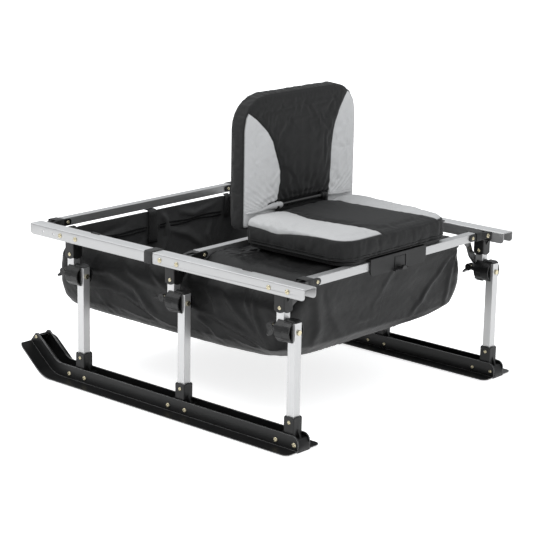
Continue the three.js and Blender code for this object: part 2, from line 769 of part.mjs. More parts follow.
// Cam lever hanging closed from its pin, which lies along Y through the frame's origin
function camLever() {
  const half = camWidth / 2;
  const slot = leverSlot / 2;
  const tip = leverTipWidth / 2;
  const arm = polygon([
    [-leverThickness / 2, 0],
    [-leverTipThickness / 2, -leverLength],
    [leverTipThickness / 2, -leverLength],
    [leverThickness / 2, 0],
  ]);
  const face = polygon([
    [-half, 0],
    [-half, -leverLength * leverRootShare],
    [-tip, leverCorner - leverLength],
    [leverCorner - tip, -leverLength],
    [tip - leverCorner, -leverLength],
    [tip, leverCorner - leverLength],
    [half, -leverLength * leverRootShare],
    [half, 0],
  ]);
  let body = alongY(arm, -tip, tip).intersect(alongX(face, -leverLength, leverLength, 2));
  body = body.add(alongY(disc(camThrow, 0, camRadius), -half, half, roundDetail));
  const slotSide = rectangle(-2 * camRadius, -leverSlotFloor, 2 * camRadius, 2 * camRadius);
  body = body.subtract(alongY(slotSide, -slot, slot));
  const pin = disc(0, 0, crossPinRadius + runningClearance);
  return body.subtract(alongY(pin, -camWidth, camWidth, holeDetail));
}

// Brace from the hub bolt in and up to the lug screw of the crossbar clip, stepping over
// along X on its way. Its own frame starts at the hub axis on the front face of the tube.
function brace(step) {
  const topRise = deckHeight - barSize / 2 - hubHeight;
  const half = braceWidth / 2;
  const knee = [braceKneeReach, braceKneeHeight];
  const top = [braceTopReach, topRise];
  const run = new THREE.Vector2(top[0] - knee[0], top[1] - knee[1]).normalize();
  const side = [run.y * half, -run.x * half];
  const at = (share) => [knee[0] + (top[0] - knee[0]) * share, knee[1] + (top[1] - knee[1]) * share];
  const ring = ([u, v], [du, dv], x) => [
    new THREE.Vector3(x - braceThickness, u - du, v - dv),
    new THREE.Vector3(x, u - du, v - dv),
    new THREE.Vector3(x, u + du, v + dv),
    new THREE.Vector3(x - braceThickness, u + du, v + dv),
  ];
  const strip = loft([
    ring([0, 0], [half, 0], 0),
    ring(knee, [half, -half * Math.tan(Math.atan2(run.x, run.y) / 2)], 0),
    ring(at(joggleStartShare), side, 0),
    ring(at(joggleEndShare), side, step),
    ring(top, side, step),
  ]);
  let body = strip.add(alongX(disc(0, 0, half), -braceThickness, 0, roundDetail));
  body = body.add(alongX(disc(top[0], top[1], half), step - braceThickness, step, roundDetail));
  const bolt = disc(0, 0, boltRadius + runningClearance);
  body = body.subtract(alongX(bolt, -2 * braceThickness, braceThickness, holeDetail));
  const screw = disc(top[0], top[1], braceHole);
  return body.subtract(alongX(screw, step - 2 * braceThickness, step + braceThickness, holeDetail));
}

// One ring of the bag at a height, drawn in by an inset on each side
function bagRing(z, front, rear, half, fold) {
  const corner = bagCornerRadius;
  const corners = [corner, corner, corner, corner];
  const points = outline(front - bagFront, -half, bagRear - rear, half, corners, ...bagSteps);
  return points.map(([x, y]) => {
    const turn = ((x + bagFront) / (bagFront + bagRear)) * bagFoldCount;
    const wave = fold * (Math.cos(2 * Math.PI * turn) - 1);
    const out = Math.abs(y) > half - corner ? Math.sign(y) * wave : 0;
    return new THREE.Vector3(x, y + out, z);
  });
}

// Body of the bag up to its hem, drawn in all round by the wall for its hollow
function bagBucket(wall) {
  const rings = bagLevelShares.map((share, k) => {
    const z = bagFloor + wall + (bagHem - bagFloor - wall) * share;
    const half = bagHalfWidth + bagBulge * bagSideShares[k] - wall;
    const fold = bagFoldDepth * (1 - share) * Math.min(1, k);
    const front = bagFrontRound * bagFrontShares[k] + wall;
    return bagRing(z, front, bagRearRound * bagRearShares[k] + wall, half, fold);
  });
  return loft(rings);
}

// Cloth deck over the rear compartment, between the middle and the rear crossbar
function bagDeck(wall, low) {
  const corner = bagCornerRadius / 2;
  const ring = (height, inset, ends) => {
    const half = bagHalfWidth - inset - ends - wall;
    const left = deckStart + wall + ends;
    const right = bagRear - wall - ends;
    const points = outline(left, -half, right, half, [corner, corner, corner, corner], ...deckSteps);
    return points.map(([x, y]) => new THREE.Vector3(x, y, height));
  };
  return loft([
    ring(low, 0, 0),
    ring(bagHem, 0, 0),
    ring(deckShoulder - wall, deckShoulderInset, 0),
    ring(deckTop - wall, deckEdgeInset, 0),
    ring(deckTop - wall - deckSag * deckSagShare, deckEdgeInset, deckSagInset),
    ring(deckTop - wall - deckSag, deckEdgeInset, deckMiddleInset),
  ]);
}

// Webbing loop round a bar whose section is given, with a tail down to the hem
function strapLoop(left, low, right, high, tail, from, to, along) {
  const grow = (by) => rectangle(left - by, low - by, right + by, high + by);
  const loop = along(grow(seatClearance + strapSheet), from, to);
  const inside = along(grow(seatClearance), from - overrun, to + overrun);
  return loop.subtract(inside).add(along(polygon(tail), from, to));
}

// Gear bag: an open front compartment and a rear one under the cloth deck. Webbing tabs
// hold its hem under the crossbars, and a webbing loop hangs it on each rail.
function cargoBag() {
  const half = strapWidth / 2;
  const hemLow = bagHem - strapTailDrop;
  const underBar = barBottom - seatClearance;
  const inner = bagBucket(bagWall);
  const mouth = loft([
    bagRing(bagHem - overrun, bagWall, bagWall, bagHalfWidth - bagWall, 0),
    bagRing(bagHem + overrun, bagWall, bagWall, bagHalfWidth - bagWall, 0),
  ]).intersect(alongZ(rectangle(-sledLength, -sledLength, deckStart, sledLength), 0, sledLength));
  let body = bagBucket(0).add(bagDeck(0, bagHem - overrun));
  body = body.subtract(inner).subtract(mouth).subtract(bagDeck(bagWall, bagHem - 2 * overrun));
  const frontTab = polygon([
    [frontBarX - strapSheet, underBar],
    [-bagFront + strapSheet, hemLow],
    [-bagFront + 2 * strapSheet, bagHem - strapSheet],
    [frontBarX + barSize / 2, underBar],
  ]);
  body = body.add(alongY(frontTab, -half, half));
  const rearTab = polygon([
    [bagRear - strapSheet, hemLow],
    [bagRear, hemLow],
    [rearBarX, underBar],
    [rearBarX - barSize / 2 + strapSheet, underBar],
  ]);
  for (const y of [-rearStrapReach, rearStrapReach]) body = body.add(alongY(rearTab, y - half, y + half));
  for (const side of [-1, 1]) {
    const inside = side * railInner;
    const outside = side * (railInner + railWidth);
    const hem = side * (bagHalfWidth - strapSheet / 2);
    const tail = [
      [inside, railBottom - seatClearance],
      [hem, bagHem - strapSheet / 2],
      [hem, bagHem - strapTailDrop],
      [inside + side * strapSheet, railBottom - seatClearance - strapSheet],
    ];
    const left = Math.min(inside, outside);
    const right = Math.max(inside, outside);
    const x = middleLegX - railStrapSetback;
    body = body.add(strapLoop(left, railBottom, right, deckHeight, tail, x - half, x + half, alongX));
  }
  return body;
}

// Rings of a cushion over an outline that can be drawn in: sides, edge and crown
function cushionRings(thickness, rounding, crown, span, ringAt) {
  const edge = thickness - rounding;
  const rings = seamShares.map((share, k) => ringAt(cushionSeam * seamDraws[k], edge * share));
  for (const share of edgeShares) {
    const angle = (share * Math.PI) / 2;
    const inset = cushionSeam + rounding * (1 - Math.cos(angle));
    rings.push(ringAt(inset, edge + rounding * Math.sin(angle)));
  }
  crownInsetShares.forEach((share, k) => {
    const inset = cushionSeam + rounding + (span - cushionSeam - rounding) * share;
    rings.push(ringAt(inset, thickness + crown * crownRiseShares[k]));
  });
  return rings;
}

// Hinge line of the backrest as a cutter
function hingeCut(radius, reach) {
  const x = backFace + backGap / 2;
  return alongY(disc(x, hingeHeight, radius), seatOffset - reach, seatOffset + reach, roundDetail);
}

// Seat cushion, wedge-shaped and crowned, with slots for the hinge ears
function seatCushion() {
  const bottom = seatPlateTop + seatClearance;
  const start = backFace + backGap;
  const length = seatFront - start;
  const half = seatWidth / 2;
  const ringAt = (inset, height) => {
    const far = Math.max(seatCornerRadius - inset, overrun);
    const near = Math.max(seatRearCorner - inset, overrun);
    const points = outline(
      start + inset,
      seatOffset - half + inset,
      seatFront - inset,
      seatOffset + half - inset,
      [near, far, far, near],
      ...seatSteps,
    );
    const lift = (x) => (seatWedge * (seatFront - x)) / length;
    const share = height / (seatThickness - seatWedge);
    return points.map(([x, y]) => new THREE.Vector3(x, y, bottom + height + lift(x) * Math.min(share, 1)));
  };
  const thickness = seatThickness - seatWedge;
  let body = loft(cushionRings(thickness, seatEdge, seatCrown, length / 2 - overrun, ringAt));
  body = body.subtract(hingeCut(hingeGroove, hingeRodLength / 2 + 2 * earThickness));
  for (const y of earSides) {
    const slot = earThickness / 2 + seatClearance;
    const section = rectangle(start - overrun, bottom - overrun, start + 2 * hingeGroove, hingeHeight);
    body = body.subtract(alongY(section, seatOffset + y - slot, seatOffset + y + slot));
  }
  return body;
}

// Backrest cushion with its crowned face toward the seat
function backrestCushion() {
  const half = backWidth / 2;
  const back = backFace - backThickness - backCrown;
  const ringAt = (inset, depth) => {
    const high = Math.max(backTopCorner - inset, overrun);
    const low = Math.max(backLowCorner - inset, overrun);
    const points = outline(
      backMiddle - half + inset,
      backBottom + inset,
      backMiddle + half - inset,
      backBottom + backHeight - inset,
      [low, low, high, high],
      ...backSteps,
    );
    return points.map(([y, z]) => new THREE.Vector3(back + depth, y, z));
  };
  let body = loft(cushionRings(backThickness, backEdge, backCrown, backHeight / 2 - overrun, ringAt));
  body = body.subtract(hingeCut(hingeGroove, hingeRodLength / 2 + 2 * earThickness));
  for (const y of earSides) {
    const middle = seatOffset + y - Math.sign(y) * armShift;
    const slot = earThickness / 2 + seatClearance;
    const section = rectangle(
      back - overrun,
      hingeHeight - hingeGroove,
      backFace + overrun,
      hingeHeight + hingeGroove,
    );
    body = body.subtract(alongY(section, middle - slot, middle + slot));
  }
  return body;
}

// Backrest board with the two arms that reach the hinge rod
function backrestBoard() {
  const half = backWidth / 2 - boardInset;
  const back = backFace - backThickness - backCrown - boardThickness - seatClearance;
  const axis = backFace + backGap / 2;
  const high = backTopCorner - boardInset;
  const shape = rectangle(
    backMiddle - half,
    backBottom + boardInset,
    backMiddle + half,
    backBottom + backHeight - boardInset,
    [boardCorner, boardCorner, high, high],
  );
  let body = alongX(shape, back, back + boardThickness);
  const hole = hingeRodRadius + seatClearance;
  for (const y of earSides) {
    const middle = seatOffset + y - Math.sign(y) * armShift;
    const from = middle - earThickness / 2;
    const arm = rectangle(back, hingeHeight - hingeEyeRadius, axis, hingeHeight + hingeEyeRadius);
    const eye = disc(axis, hingeHeight, hingeEyeRadius);
    body = body.add(alongY(arm, from, from + earThickness));
    body = body.add(alongY(eye, from, from + earThickness, roundDetail));
  }
  const reach = hingeRodLength / 2;
  return body.subtract(
    alongY(disc(axis, hingeHeight, hole), seatOffset - reach, seatOffset + reach, roundDetail),
  );
}

// Seat base: a ribbed plate with hooks over the middle crossbar, hinge ears and the panel
// that hangs down behind the rear crossbar, with a window for the latch
function seatBase() {
  const half = seatWidth / 2 - boardInset;
  const low = deckHeight + seatClearance;
  const start = backFace + backGap;
  const panelBack = rearBarX + barSize / 2 + seatClearance;
  const panelFront = panelBack + clipPanelThickness;
  const far = seatCornerRadius - boardInset;
  const plan = rectangle(start, seatOffset - half, panelFront - boardInset, seatOffset + half, [
    boardCorner,
    far,
    far,
    boardCorner,
  ]);
  let body = alongZ(plan, low, seatPlateTop);
  const hookBack = middleBarX - barSize / 2 - seatClearance;
  for (const y of [-hookReach, hookReach]) {
    const from = seatOffset + y - hookWidth / 2;
    const arm = rectangle(hookBack - hookThickness, low, start + 2 * overrun, seatPlateTop);
    const hook = rectangle(hookBack - hookThickness, deckHeight - hookDrop, hookBack, seatPlateTop);
    body = body.add(alongY(arm, from, from + hookWidth)).add(alongY(hook, from, from + hookWidth));
  }
  const ribEnd = rearBarX - barSize / 2 - 2 * overrun;
  for (let k = 0; k < ribCount; k++) {
    const from = seatOffset + (k - (ribCount - 1) / 2) * ribPitch - ribThickness / 2;
    const rib = polygon([
      [start + overrun, low + seatClearance],
      [start + 2 * overrun, low - ribHeight],
      [ribEnd - overrun, low - ribHeight],
      [ribEnd, low + seatClearance],
    ]);
    body = body.add(alongY(rib, from, from + ribThickness));
  }
  body = body.add(clipPanel(panelBack, panelFront));
  for (const y of earSides) body = body.add(hingeEar(seatOffset + y));
  const reach = hingeRodLength;
  const hole = disc(backFace + backGap / 2, hingeHeight, hingeRodRadius + runningClearance);
  return body.subtract(alongY(hole, seatOffset - reach, seatOffset + reach, roundDetail));
}

// Panel behind the rear crossbar, open at the bottom where the latch tongue hangs
function clipPanel(back, front) {
  const middle = seatOffset + clipPanelShift;
  const half = clipPanelWidth / 2;
  const low = barBottom - (clipPanelDrop - barSize);
  const corners = [clipPanelCorner, clipPanelCorner, 0, 0];
  const panel = rectangle(middle - half, low, middle + half, seatPlateTop, corners);
  const tongue = seatOffset + tongueShift;
  const window = tongueWidth / 2 + tongueSlit;
  const top = deckHeight - tongueTop + 2 * runningClearance;
  const opening = rectangle(tongue - window, low - overrun, tongue + window, top);
  const shelf = rectangle(rearBarX - barSize, deckHeight + seatClearance, front, seatPlateTop);
  let body = alongX(panel, back, front).subtract(alongX(opening, back - overrun, front + overrun));
  body = body.add(alongY(shelf, middle - half, middle + half));
  return body;
}

// Ear of the seat base that holds the hinge rod
function hingeEar(y) {
  const axis = backFace + backGap / 2;
  const start = backFace + backGap;
  const stem = rectangle(start, seatPlateTop - overrun / 2, start + hingeEyeRadius, hingeHeight);
  const from = y - earThickness / 2;
  const eye = alongY(disc(axis, hingeHeight, hingeEyeRadius), from, from + earThickness, roundDetail);
  return alongY(stem, from, from + earThickness).add(eye);
}

// Rod that joins the ears of the seat base and the arms of the backrest board
function hingeRod() {
  const half = hingeRodLength / 2;
  return alongY(disc(0, 0, hingeRodRadius), -half, half, roundDetail);
}

// Latch tongue in the panel's window, with its catch under the bar and its thumb tab. Its
// own frame has the bend line at the top of the tongue as x = z = 0.
function seatLatch() {
  const top = deckHeight - tongueTop;
  const half = clipPanelThickness / 2;
  const barFace = -half - seatClearance;
  const underBar = barBottom - top - seatClearance;
  const profile = polygon([
    [-half, 0],
    [-half, underBar],
    [barFace - catchDepth, underBar],
    [barFace - catchDepth, underBar - catchHeight / 2],
    [-half, underBar - catchHeight],
    [-half, -tongueDrop],
    [half, -tongueDrop],
    [half, 0],
  ]);
  const tabTop = thumbTabThickness - tongueDrop;
  const neck = rectangle(half - seatClearance, -tongueDrop, half + thumbTab, tabTop);
  const tab = rectangle(half + runningClearance, -tongueDrop, half + thumbTab, tabTop);
  const body = alongY(profile, -tongueWidth / 2, tongueWidth / 2).add(
    alongY(neck, -tongueWidth / 2, tongueWidth / 2),
  );
  return body.add(alongY(tab, -thumbTabWidth / 2, thumbTabWidth / 2));
}

const sled = new THREE.Group();
sled.name = "ice_fishing_sled";

function place(parent, name, body, material, x = 0, y = 0, z = 0) {
  const mesh = new THREE.Mesh(geometryOf(body), material);
  mesh.name = name;
  mesh.position.set(x, y, z);
  parent.add(mesh);
  return mesh;
}

// One side of the sled, built as the left one and mirrored for the right one
function buildSide({ name, sign }) {
  const side = new THREE.Group();
  side.scale.y = -sign;
  sled.add(side);
  place(side, `rail_${name}`, rail(), aluminium(), 0, -halfTrack);
  place(side, `ski_${name}`, ski(), blackPlastic(), 0, -halfTrack);
  for (const bar of bars) {
    const label = `crossbar_clip_${bar.name}_${name}`;
    place(side, label, crossbarClip(), blackPlastic(), bar.x, -railInner, deckHeight - barSize / 2);
  }
  for (const station of stations) buildLeg(side, name, station);
}

function buildLeg(side, name, station) {
  const { x, braced } = station;
  const lowerX = x + legShift;
  const leverX = x - leverSetback;
  const label = `${station.name}_${name}`;
  place(side, `leg_socket_${label}`, legSocket(), blackPlastic(), x, -halfTrack);
  place(side, `upper_hub_${label}`, upperHub(braced), blackPlastic(), x, -halfTrack, hubHeight);
  const hub = place(side, `lower_hub_${label}`, lowerHub(), blackPlastic(), lowerX, -halfTrack, hubHeight);
  hub.rotation.y = Math.PI;
  place(side, `lower_tube_${label}`, lowerTube(), aluminium(), lowerX, -halfTrack);
  place(side, `ski_bracket_${label}`, skiBracket(), blackPlastic(), lowerX, -halfTrack);
  const lever = place(side, `cam_lever_${label}`, camLever(), blackPlastic(), leverX, -halfTrack, hubHeight);
  const rest = label === "rear_left" ? leverRestRearLeft : leverRests[station.name];
  lever.rotation.y = rest * degree;
  if (!braced) return;
  const front = x - tubeSize / 2 - seatClearance;
  const step = station.barX - barSize / 2 - clipCheek - 2 * seatClearance - front;
  place(side, `brace_${label}`, brace(step), steel(), front, -halfTrack, hubHeight);
}

for (const side of sides) buildSide(side);
for (const bar of bars) {
  place(sled, `crossbar_${bar.name}`, crossbar(), aluminium(), bar.x, 0, deckHeight - barSize / 2);
}
place(sled, "cargo_bag", cargoBag(), blackFabric());
place(sled, "seat_base", seatBase(), blackPlastic());
place(sled, "seat_cushion", seatCushion(), greyFabric());
place(sled, "backrest_board", backrestBoard(), blackPlastic());
place(sled, "backrest_cushion", backrestCushion(), greyFabric());
place(sled, "seat_hinge_rod", hingeRod(), steel(), backFace + backGap / 2, seatOffset, hingeHeight);
const latchX = rearBarX + barSize / 2 + seatClearance + clipPanelThickness / 2;
const latchY = seatOffset + tongueShift;
place(sled, "seat_latch", seatLatch(), blackPlastic(), latchX, latchY, deckHeight - tongueTop);

export default sled;
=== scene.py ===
"""Looks of the ice fishing sled: materials, padded seat, gear bag, webbing and fasteners.
Metres, in the frame of the CAD part. The left side of the sled is at -Y and its front at -X."""

import bpy
import bmesh
import math
import numpy as np
from mathutils import Matrix, Vector, noise


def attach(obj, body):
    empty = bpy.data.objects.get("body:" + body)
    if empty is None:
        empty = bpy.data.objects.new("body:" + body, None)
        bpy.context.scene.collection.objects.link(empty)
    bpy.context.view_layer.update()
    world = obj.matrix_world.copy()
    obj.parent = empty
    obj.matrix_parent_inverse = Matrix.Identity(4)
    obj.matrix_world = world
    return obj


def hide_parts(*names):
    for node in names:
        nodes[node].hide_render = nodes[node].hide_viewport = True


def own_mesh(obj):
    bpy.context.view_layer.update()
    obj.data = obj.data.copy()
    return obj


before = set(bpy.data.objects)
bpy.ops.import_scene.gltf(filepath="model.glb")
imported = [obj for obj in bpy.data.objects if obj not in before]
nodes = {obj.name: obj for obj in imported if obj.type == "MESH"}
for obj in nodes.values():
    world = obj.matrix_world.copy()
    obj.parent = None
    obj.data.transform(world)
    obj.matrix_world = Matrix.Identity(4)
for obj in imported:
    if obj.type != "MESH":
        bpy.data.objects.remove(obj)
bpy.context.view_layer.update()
MM = 0.001
ALONG, ACROSS, UP = (1, 0, 0), (0, 1, 0), (0, 0, 1)
SIDES = {"left": -1, "right": 1}

STATIONS = ("front", "middle", "rear")


def box(node):
    """Lowest and highest corner of a CAD node."""
    corners = np.array([nodes[node].matrix_world @ Vector(corner) for corner in nodes[node].bound_box])
    return corners.min(axis=0), corners.max(axis=0)


def middle(node):
    low, high = box(node)
    return (low + high) / 2


# Places from the frame; LEG_LINE is the middle of legs and ski, HUB_Z the height of the hub bolts.
LEG_X = {station: middle(f"leg_socket_{station}_right")[0] for station in STATIONS}
BAR_X = {station: middle(f"crossbar_{station}")[0] for station in STATIONS}
BAR_Z = middle("crossbar_front")[2]
HUB_Z = middle("upper_hub_front_right")[2]
LEG_LINE = middle("leg_socket_front_right")[1]
(_, RAIL_IN, RAIL_LOW), (_, RAIL_OUT, RAIL_TOP) = box("rail_right")


# Materials
class Tree:
    """A new material or world, and short calls to add nodes to it."""

    def __init__(self, name, kind="Material"):
        self.owner = (bpy.data.worlds if kind == "World" else bpy.data.materials).new(name)
        self.owner.use_nodes = True
        self.tree = self.owner.node_tree
        self.tree.nodes.clear()
        self.out = self.add(f"ShaderNodeOutput{kind}")
        self.coordinates = self.add("ShaderNodeTexCoord").outputs
        self.place = self.coordinates["Object"]

    def add(self, kind, inputs=None, **settings):
        made = self.tree.nodes.new(kind)
        for key, value in settings.items():
            setattr(made, key, value)
        for key, value in (inputs or {}).items():
            self.put(made.inputs[key], value)
        return made

    def put(self, socket, value):
        if isinstance(value, bpy.types.NodeSocket):
            self.tree.links.new(value, socket)
        else:
            socket.default_value = value

    def math(self, operation, a, b=0.0, c=0.0):
        return self.add("ShaderNodeMath", {0: a, 1: b, 2: c}, operation=operation).outputs[0]

    def vector(self, operation, a, b=(0.0, 0.0, 0.0), output="Vector"):
        return self.add("ShaderNodeVectorMath", {0: a, 1: b}, operation=operation).outputs[output]

    def scaled(self, x, y, z):
        return self.add("ShaderNodeMapping", {"Vector": self.place, "Scale": (x, y, z)}).outputs[0]

    def noise(self, vector, scale, detail=3.0, rough=0.5):
        inputs = {"Vector": vector, "Scale": scale, "Detail": detail, "Roughness": rough}
        return self.add("ShaderNodeTexNoise", inputs).outputs[0]

    def ramp(self, value, low, high, to_low=0.0, to_high=1.0):
        inputs = {"Value": value, "From Min": low, "From Max": high, "To Min": to_low, "To Max": to_high}
        return self.add("ShaderNodeMapRange", inputs).outputs[0]

    def blend(self, factor, first, second):
        mix = self.add("ShaderNodeMix", data_type="RGBA")
        self.put(mix.inputs[0], factor)
        self.put(mix.inputs[6], first)
        self.put(mix.inputs[7], second)
        return mix.outputs[2]

    def cover(self, color, factor, share, tone):
        """Lays a share of a grey tone over the colour where the factor is high."""
        return self.blend(self.math("MULTIPLY", factor, share), color, grey(tone))

    def bump(self, height, distance, strength=1.0, normal=None):
        inputs = {"Height": height, "Distance": distance, "Strength": strength}
        if normal is not None:
            inputs["Normal"] = normal
        return self.add("ShaderNodeBump", inputs).outputs[0]

    def weave(self, pitch):
        """Plain weave on any face that lies near an axis plane, from 0 to 1."""
        turns = math.pi / pitch
        place = self.scaled(turns, turns, turns)
        parts = self.add("ShaderNodeSeparateXYZ", {0: self.vector("COSINE", place)}).outputs
        turned = self.add("ShaderNodeCombineXYZ", {0: parts[1], 1: parts[2], 2: parts[0]}).outputs[0]
        dot = self.vector("DOT_PRODUCT", self.vector("SINE", place), turned, "Value")
        return self.ramp(dot, -1.2, 1.2)

    def normal(self):
        return self.add("ShaderNodeNewGeometry").outputs["Normal"]

    def edge(self, radius):
        """1 on convex edges, 0 on flat faces."""
        bevel = self.add("ShaderNodeBevel", {"Radius": radius}, samples=4).outputs[0]
        return self.ramp(self.vector("DOT_PRODUCT", bevel, self.normal(), "Value"), 0.995, 0.9)

    def edge_wear_and_highlight(self, radius, scale, low, high):
        """1 on patches of the convex edges: scuffing on the plastics and the steel, a painted highlight on
        the ski.
        """
        patches = self.ramp(self.noise(self.place, scale, 4.0, 0.7), low, high)
        return self.math("MULTIPLY", self.edge(radius), patches)

    def shader(self, kind, inputs):
        return self.add(f"ShaderNode{kind}", inputs).outputs[0]

    def show(self, shader):
        self.put(self.out.inputs[0], shader)
        return self.owner

    def finish(self, color, roughness, normal, **sockets):
        inputs = {"Base Color": color, "Roughness": roughness, "Normal": normal}
        inputs.update({key.replace("_", " "): value for key, value in sockets.items()})
        return self.show(self.shader("BsdfPrincipled", inputs))


def grey(value):
    return (value, value, value, 1.0)


def aluminium(name, stretch, tone, edge=0.9, upright=1.0, edge_band=0.0012):
    """Satin anodised extrusion with fine drawing marks along one axis, and painted shade on upright faces."""
    t = Tree(name)
    marks = t.noise(t.scaled(*stretch), 1.0, 4.0, 0.6)
    cloud = t.noise(t.place, 14.0, 2.0)
    bead = t.noise(t.place, 2600.0, 1.0)
    # Band along the convex edges: pale scuffing on the bar and tubes; on the rails a dark grey tone that is
    # painted shade of their rounded edges.
    edge_wear_and_shade = t.math("MULTIPLY", t.edge(edge_band), t.noise(t.place, 60.0, 3.0))
    color = t.blend(t.ramp(marks, 0.3, 0.7), grey(tone * 0.93), grey(tone * 1.05))
    # painted shade: upright faces are blended towards black, keeping the upright share of their colour, so
    # tops read lighter than sides
    facing = t.math("ABSOLUTE", t.add("ShaderNodeSeparateXYZ", {0: t.normal()}).outputs[2])
    color = t.blend(t.ramp(facing, 0.3, 0.9, 1 - upright, 0.0), color, grey(0.0))
    color = t.cover(color, cloud, 0.25, tone * 0.8)
    color = t.cover(color, edge_wear_and_shade, 0.6, edge)
    rough = t.ramp(marks, 0.25, 0.75, 0.34, 0.48)
    height = t.math("MULTIPLY_ADD", marks, 0.7, t.math("MULTIPLY", bead, 0.3))
    return t.finish(color, rough, t.bump(height, 0.00006, 0.5), Metallic=0.75)


def moulded(name, dark, light, gloss, pebble=900.0):
    """Glass-filled plastic: fine pebble, cloudy tone and paler scuffed edges."""
    t = Tree(name)
    fine = t.noise(t.place, pebble, 2.0)
    cloud = t.noise(t.place, 30.0, 3.0, 0.6)
    color = t.blend(cloud, grey(dark), grey(light))
    color = t.cover(color, t.edge_wear_and_highlight(0.001, 85.0, 0.35, 0.75), 0.5, 0.12)
    rough = t.math("ADD", t.ramp(cloud, 0.2, 0.8, gloss - 0.06, gloss + 0.08), t.math("MULTIPLY", fine, 0.06))
    return t.finish(color, rough, t.bump(fine, 0.00012, 0.6), Specular_IOR_Level=0.36)


def runner(name):
    """Black polyethylene ski: waxy, with long rubbing scratches."""
    t = Tree(name)
    scratches = t.noise(t.scaled(9.0, 420.0, 420.0), 1.0, 5.0, 0.7)
    cloud = t.noise(t.place, 22.0, 3.0)
    fine = t.noise(t.place, 700.0, 2.0)
    color = t.blend(cloud, grey(0.0035), grey(0.008))
    color = t.cover(color, t.ramp(scratches, 0.62, 0.78), 0.25, 0.07)
    # painted highlight: pale patches on the ski's convex edges stand in for the gloss that its rounded edges
    # catch
    color = t.cover(color, t.edge_wear_and_highlight(0.0014, 50.0, 0.15, 0.5), 0.8, 0.34)
    rough = t.ramp(scratches, 0.3, 0.7, 0.3, 0.45)
    height = t.math("MULTIPLY_ADD", scratches, 0.6, t.math("MULTIPLY", fine, 0.4))
    return t.finish(color, rough, t.bump(height, 0.00015, 0.5), Specular_IOR_Level=0.4)


def painted_steel(name):
    """Black powder coat with orange peel."""
    t = Tree(name)
    peel = t.noise(t.place, 420.0, 2.0)
    cloud = t.noise(t.place, 35.0, 3.0)
    color = t.blend(cloud, grey(0.012), grey(0.022))
    color = t.cover(color, t.edge_wear_and_highlight(0.0009, 70.0, 0.4, 0.7), 0.5, 0.25)
    rough = t.ramp(cloud, 0.2, 0.8, 0.24, 0.36)
    return t.finish(color, rough, t.bump(peel, 0.0001, 0.5), Coat_Weight=0.3)


def plated(name, tone, yellow, rough):
    """Zinc-plated steel with a little cloudiness and fine turning marks."""
    t = Tree(name)
    cloud = t.noise(t.place, 260.0, 3.0)
    fine = t.noise(t.place, 3000.0, 2.0)
    dark, light = tone * 0.7, tone * 1.15
    low = (dark, dark * (1 - yellow * 0.3), dark * (1 - yellow), 1)
    high = (light, light * (1 - yellow * 0.2), light * (1 - yellow * 0.8), 1)
    gloss = t.ramp(cloud, 0.2, 0.8, rough - 0.06, rough + 0.1)
    return t.finish(t.blend(cloud, low, high), gloss, t.bump(fine, 0.00003, 0.4), Metallic=1.0)


def polyester(name, dark, light, pitch, crease):
    """Coated woven polyester: plain weave, soft creases and a faint sheen."""
    t = Tree(name)
    weave = t.weave(pitch)
    cloud = t.noise(t.place, 11.0, 4.0, 0.6)
    slub = t.noise(t.scaled(1500.0, 90.0, 1500.0), 1.0, 2.0)
    folds = t.noise(t.place, crease, 3.0, 0.55)
    color = t.blend(cloud, grey(dark), grey(light))
    color = t.cover(color, weave, 0.35, light * 1.5)
    color = t.cover(color, t.ramp(slub, 0.5, 0.8), 0.2, light * 1.7)
    height = t.bump(weave, 0.00025, 0.5, t.bump(folds, 0.004, 0.35))
    return t.finish(color, t.ramp(cloud, 0.3, 0.7, 0.42, 0.54), height,
                    Specular_IOR_Level=0.24, Sheen_Weight=0.02, Sheen_Roughness=0.5)


def upholstery(name, pale_low, pale_high):
    """Black and light grey seat cloth; the attribute "panel" tells how far a point is inside a grey panel."""
    t = Tree(name)
    weave = t.weave(0.0011)
    panel = t.add("ShaderNodeAttribute", attribute_name="panel").outputs["Fac"]
    cloud = t.noise(t.place, 16.0, 4.0, 0.6)
    fleck = t.noise(t.place, 900.0, 2.0)
    black = t.blend(cloud, grey(0.0090), grey(0.0165))
    black = t.cover(black, weave, 0.3, 0.022)
    light = t.blend(cloud, grey(pale_low), grey(pale_high))
    light = t.cover(light, t.ramp(fleck, 0.4, 0.7), 0.3, pale_low * 0.82)
    light = t.cover(light, weave, 0.2, min(1.0, pale_high * 1.14))
    color = t.blend(t.ramp(panel, -0.0004, 0.0004), black, light)
    seam = t.ramp(t.math("ABSOLUTE", panel), 0.0, 0.0016)
    color = t.blend(seam, grey(0.008), color)
    soft = t.bump(t.noise(t.place, 38.0, 3.0, 0.55), 0.003, 0.22)
    return t.finish(color, t.ramp(fleck, 0.3, 0.7, 0.66, 0.8), t.bump(weave, 0.0003, 0.5, soft),
                    Specular_IOR_Level=0.35, Sheen_Weight=0.05, Sheen_Roughness=0.5)


def webbing(name):
    """Woven black strap with ribs one above the other."""
    t = Tree(name)
    rib_pitch = 0.0016
    height = t.add("ShaderNodeSeparateXYZ", {0: t.place}).outputs[2]
    rib = t.math("SINE", t.math("MULTIPLY", height, 2 * math.pi / rib_pitch))
    weave = t.weave(0.0009)
    cloud = t.noise(t.place, 40.0, 3.0)
    color = t.cover(t.blend(cloud, grey(0.006), grey(0.013)), weave, 0.4, 0.03)
    relief = t.bump(t.math("MULTIPLY_ADD", rib, 0.3, weave), 0.00035, 0.6)
    return t.finish(color, t.ramp(cloud, 0.2, 0.8, 0.6, 0.75), relief, Sheen_Weight=0.1)


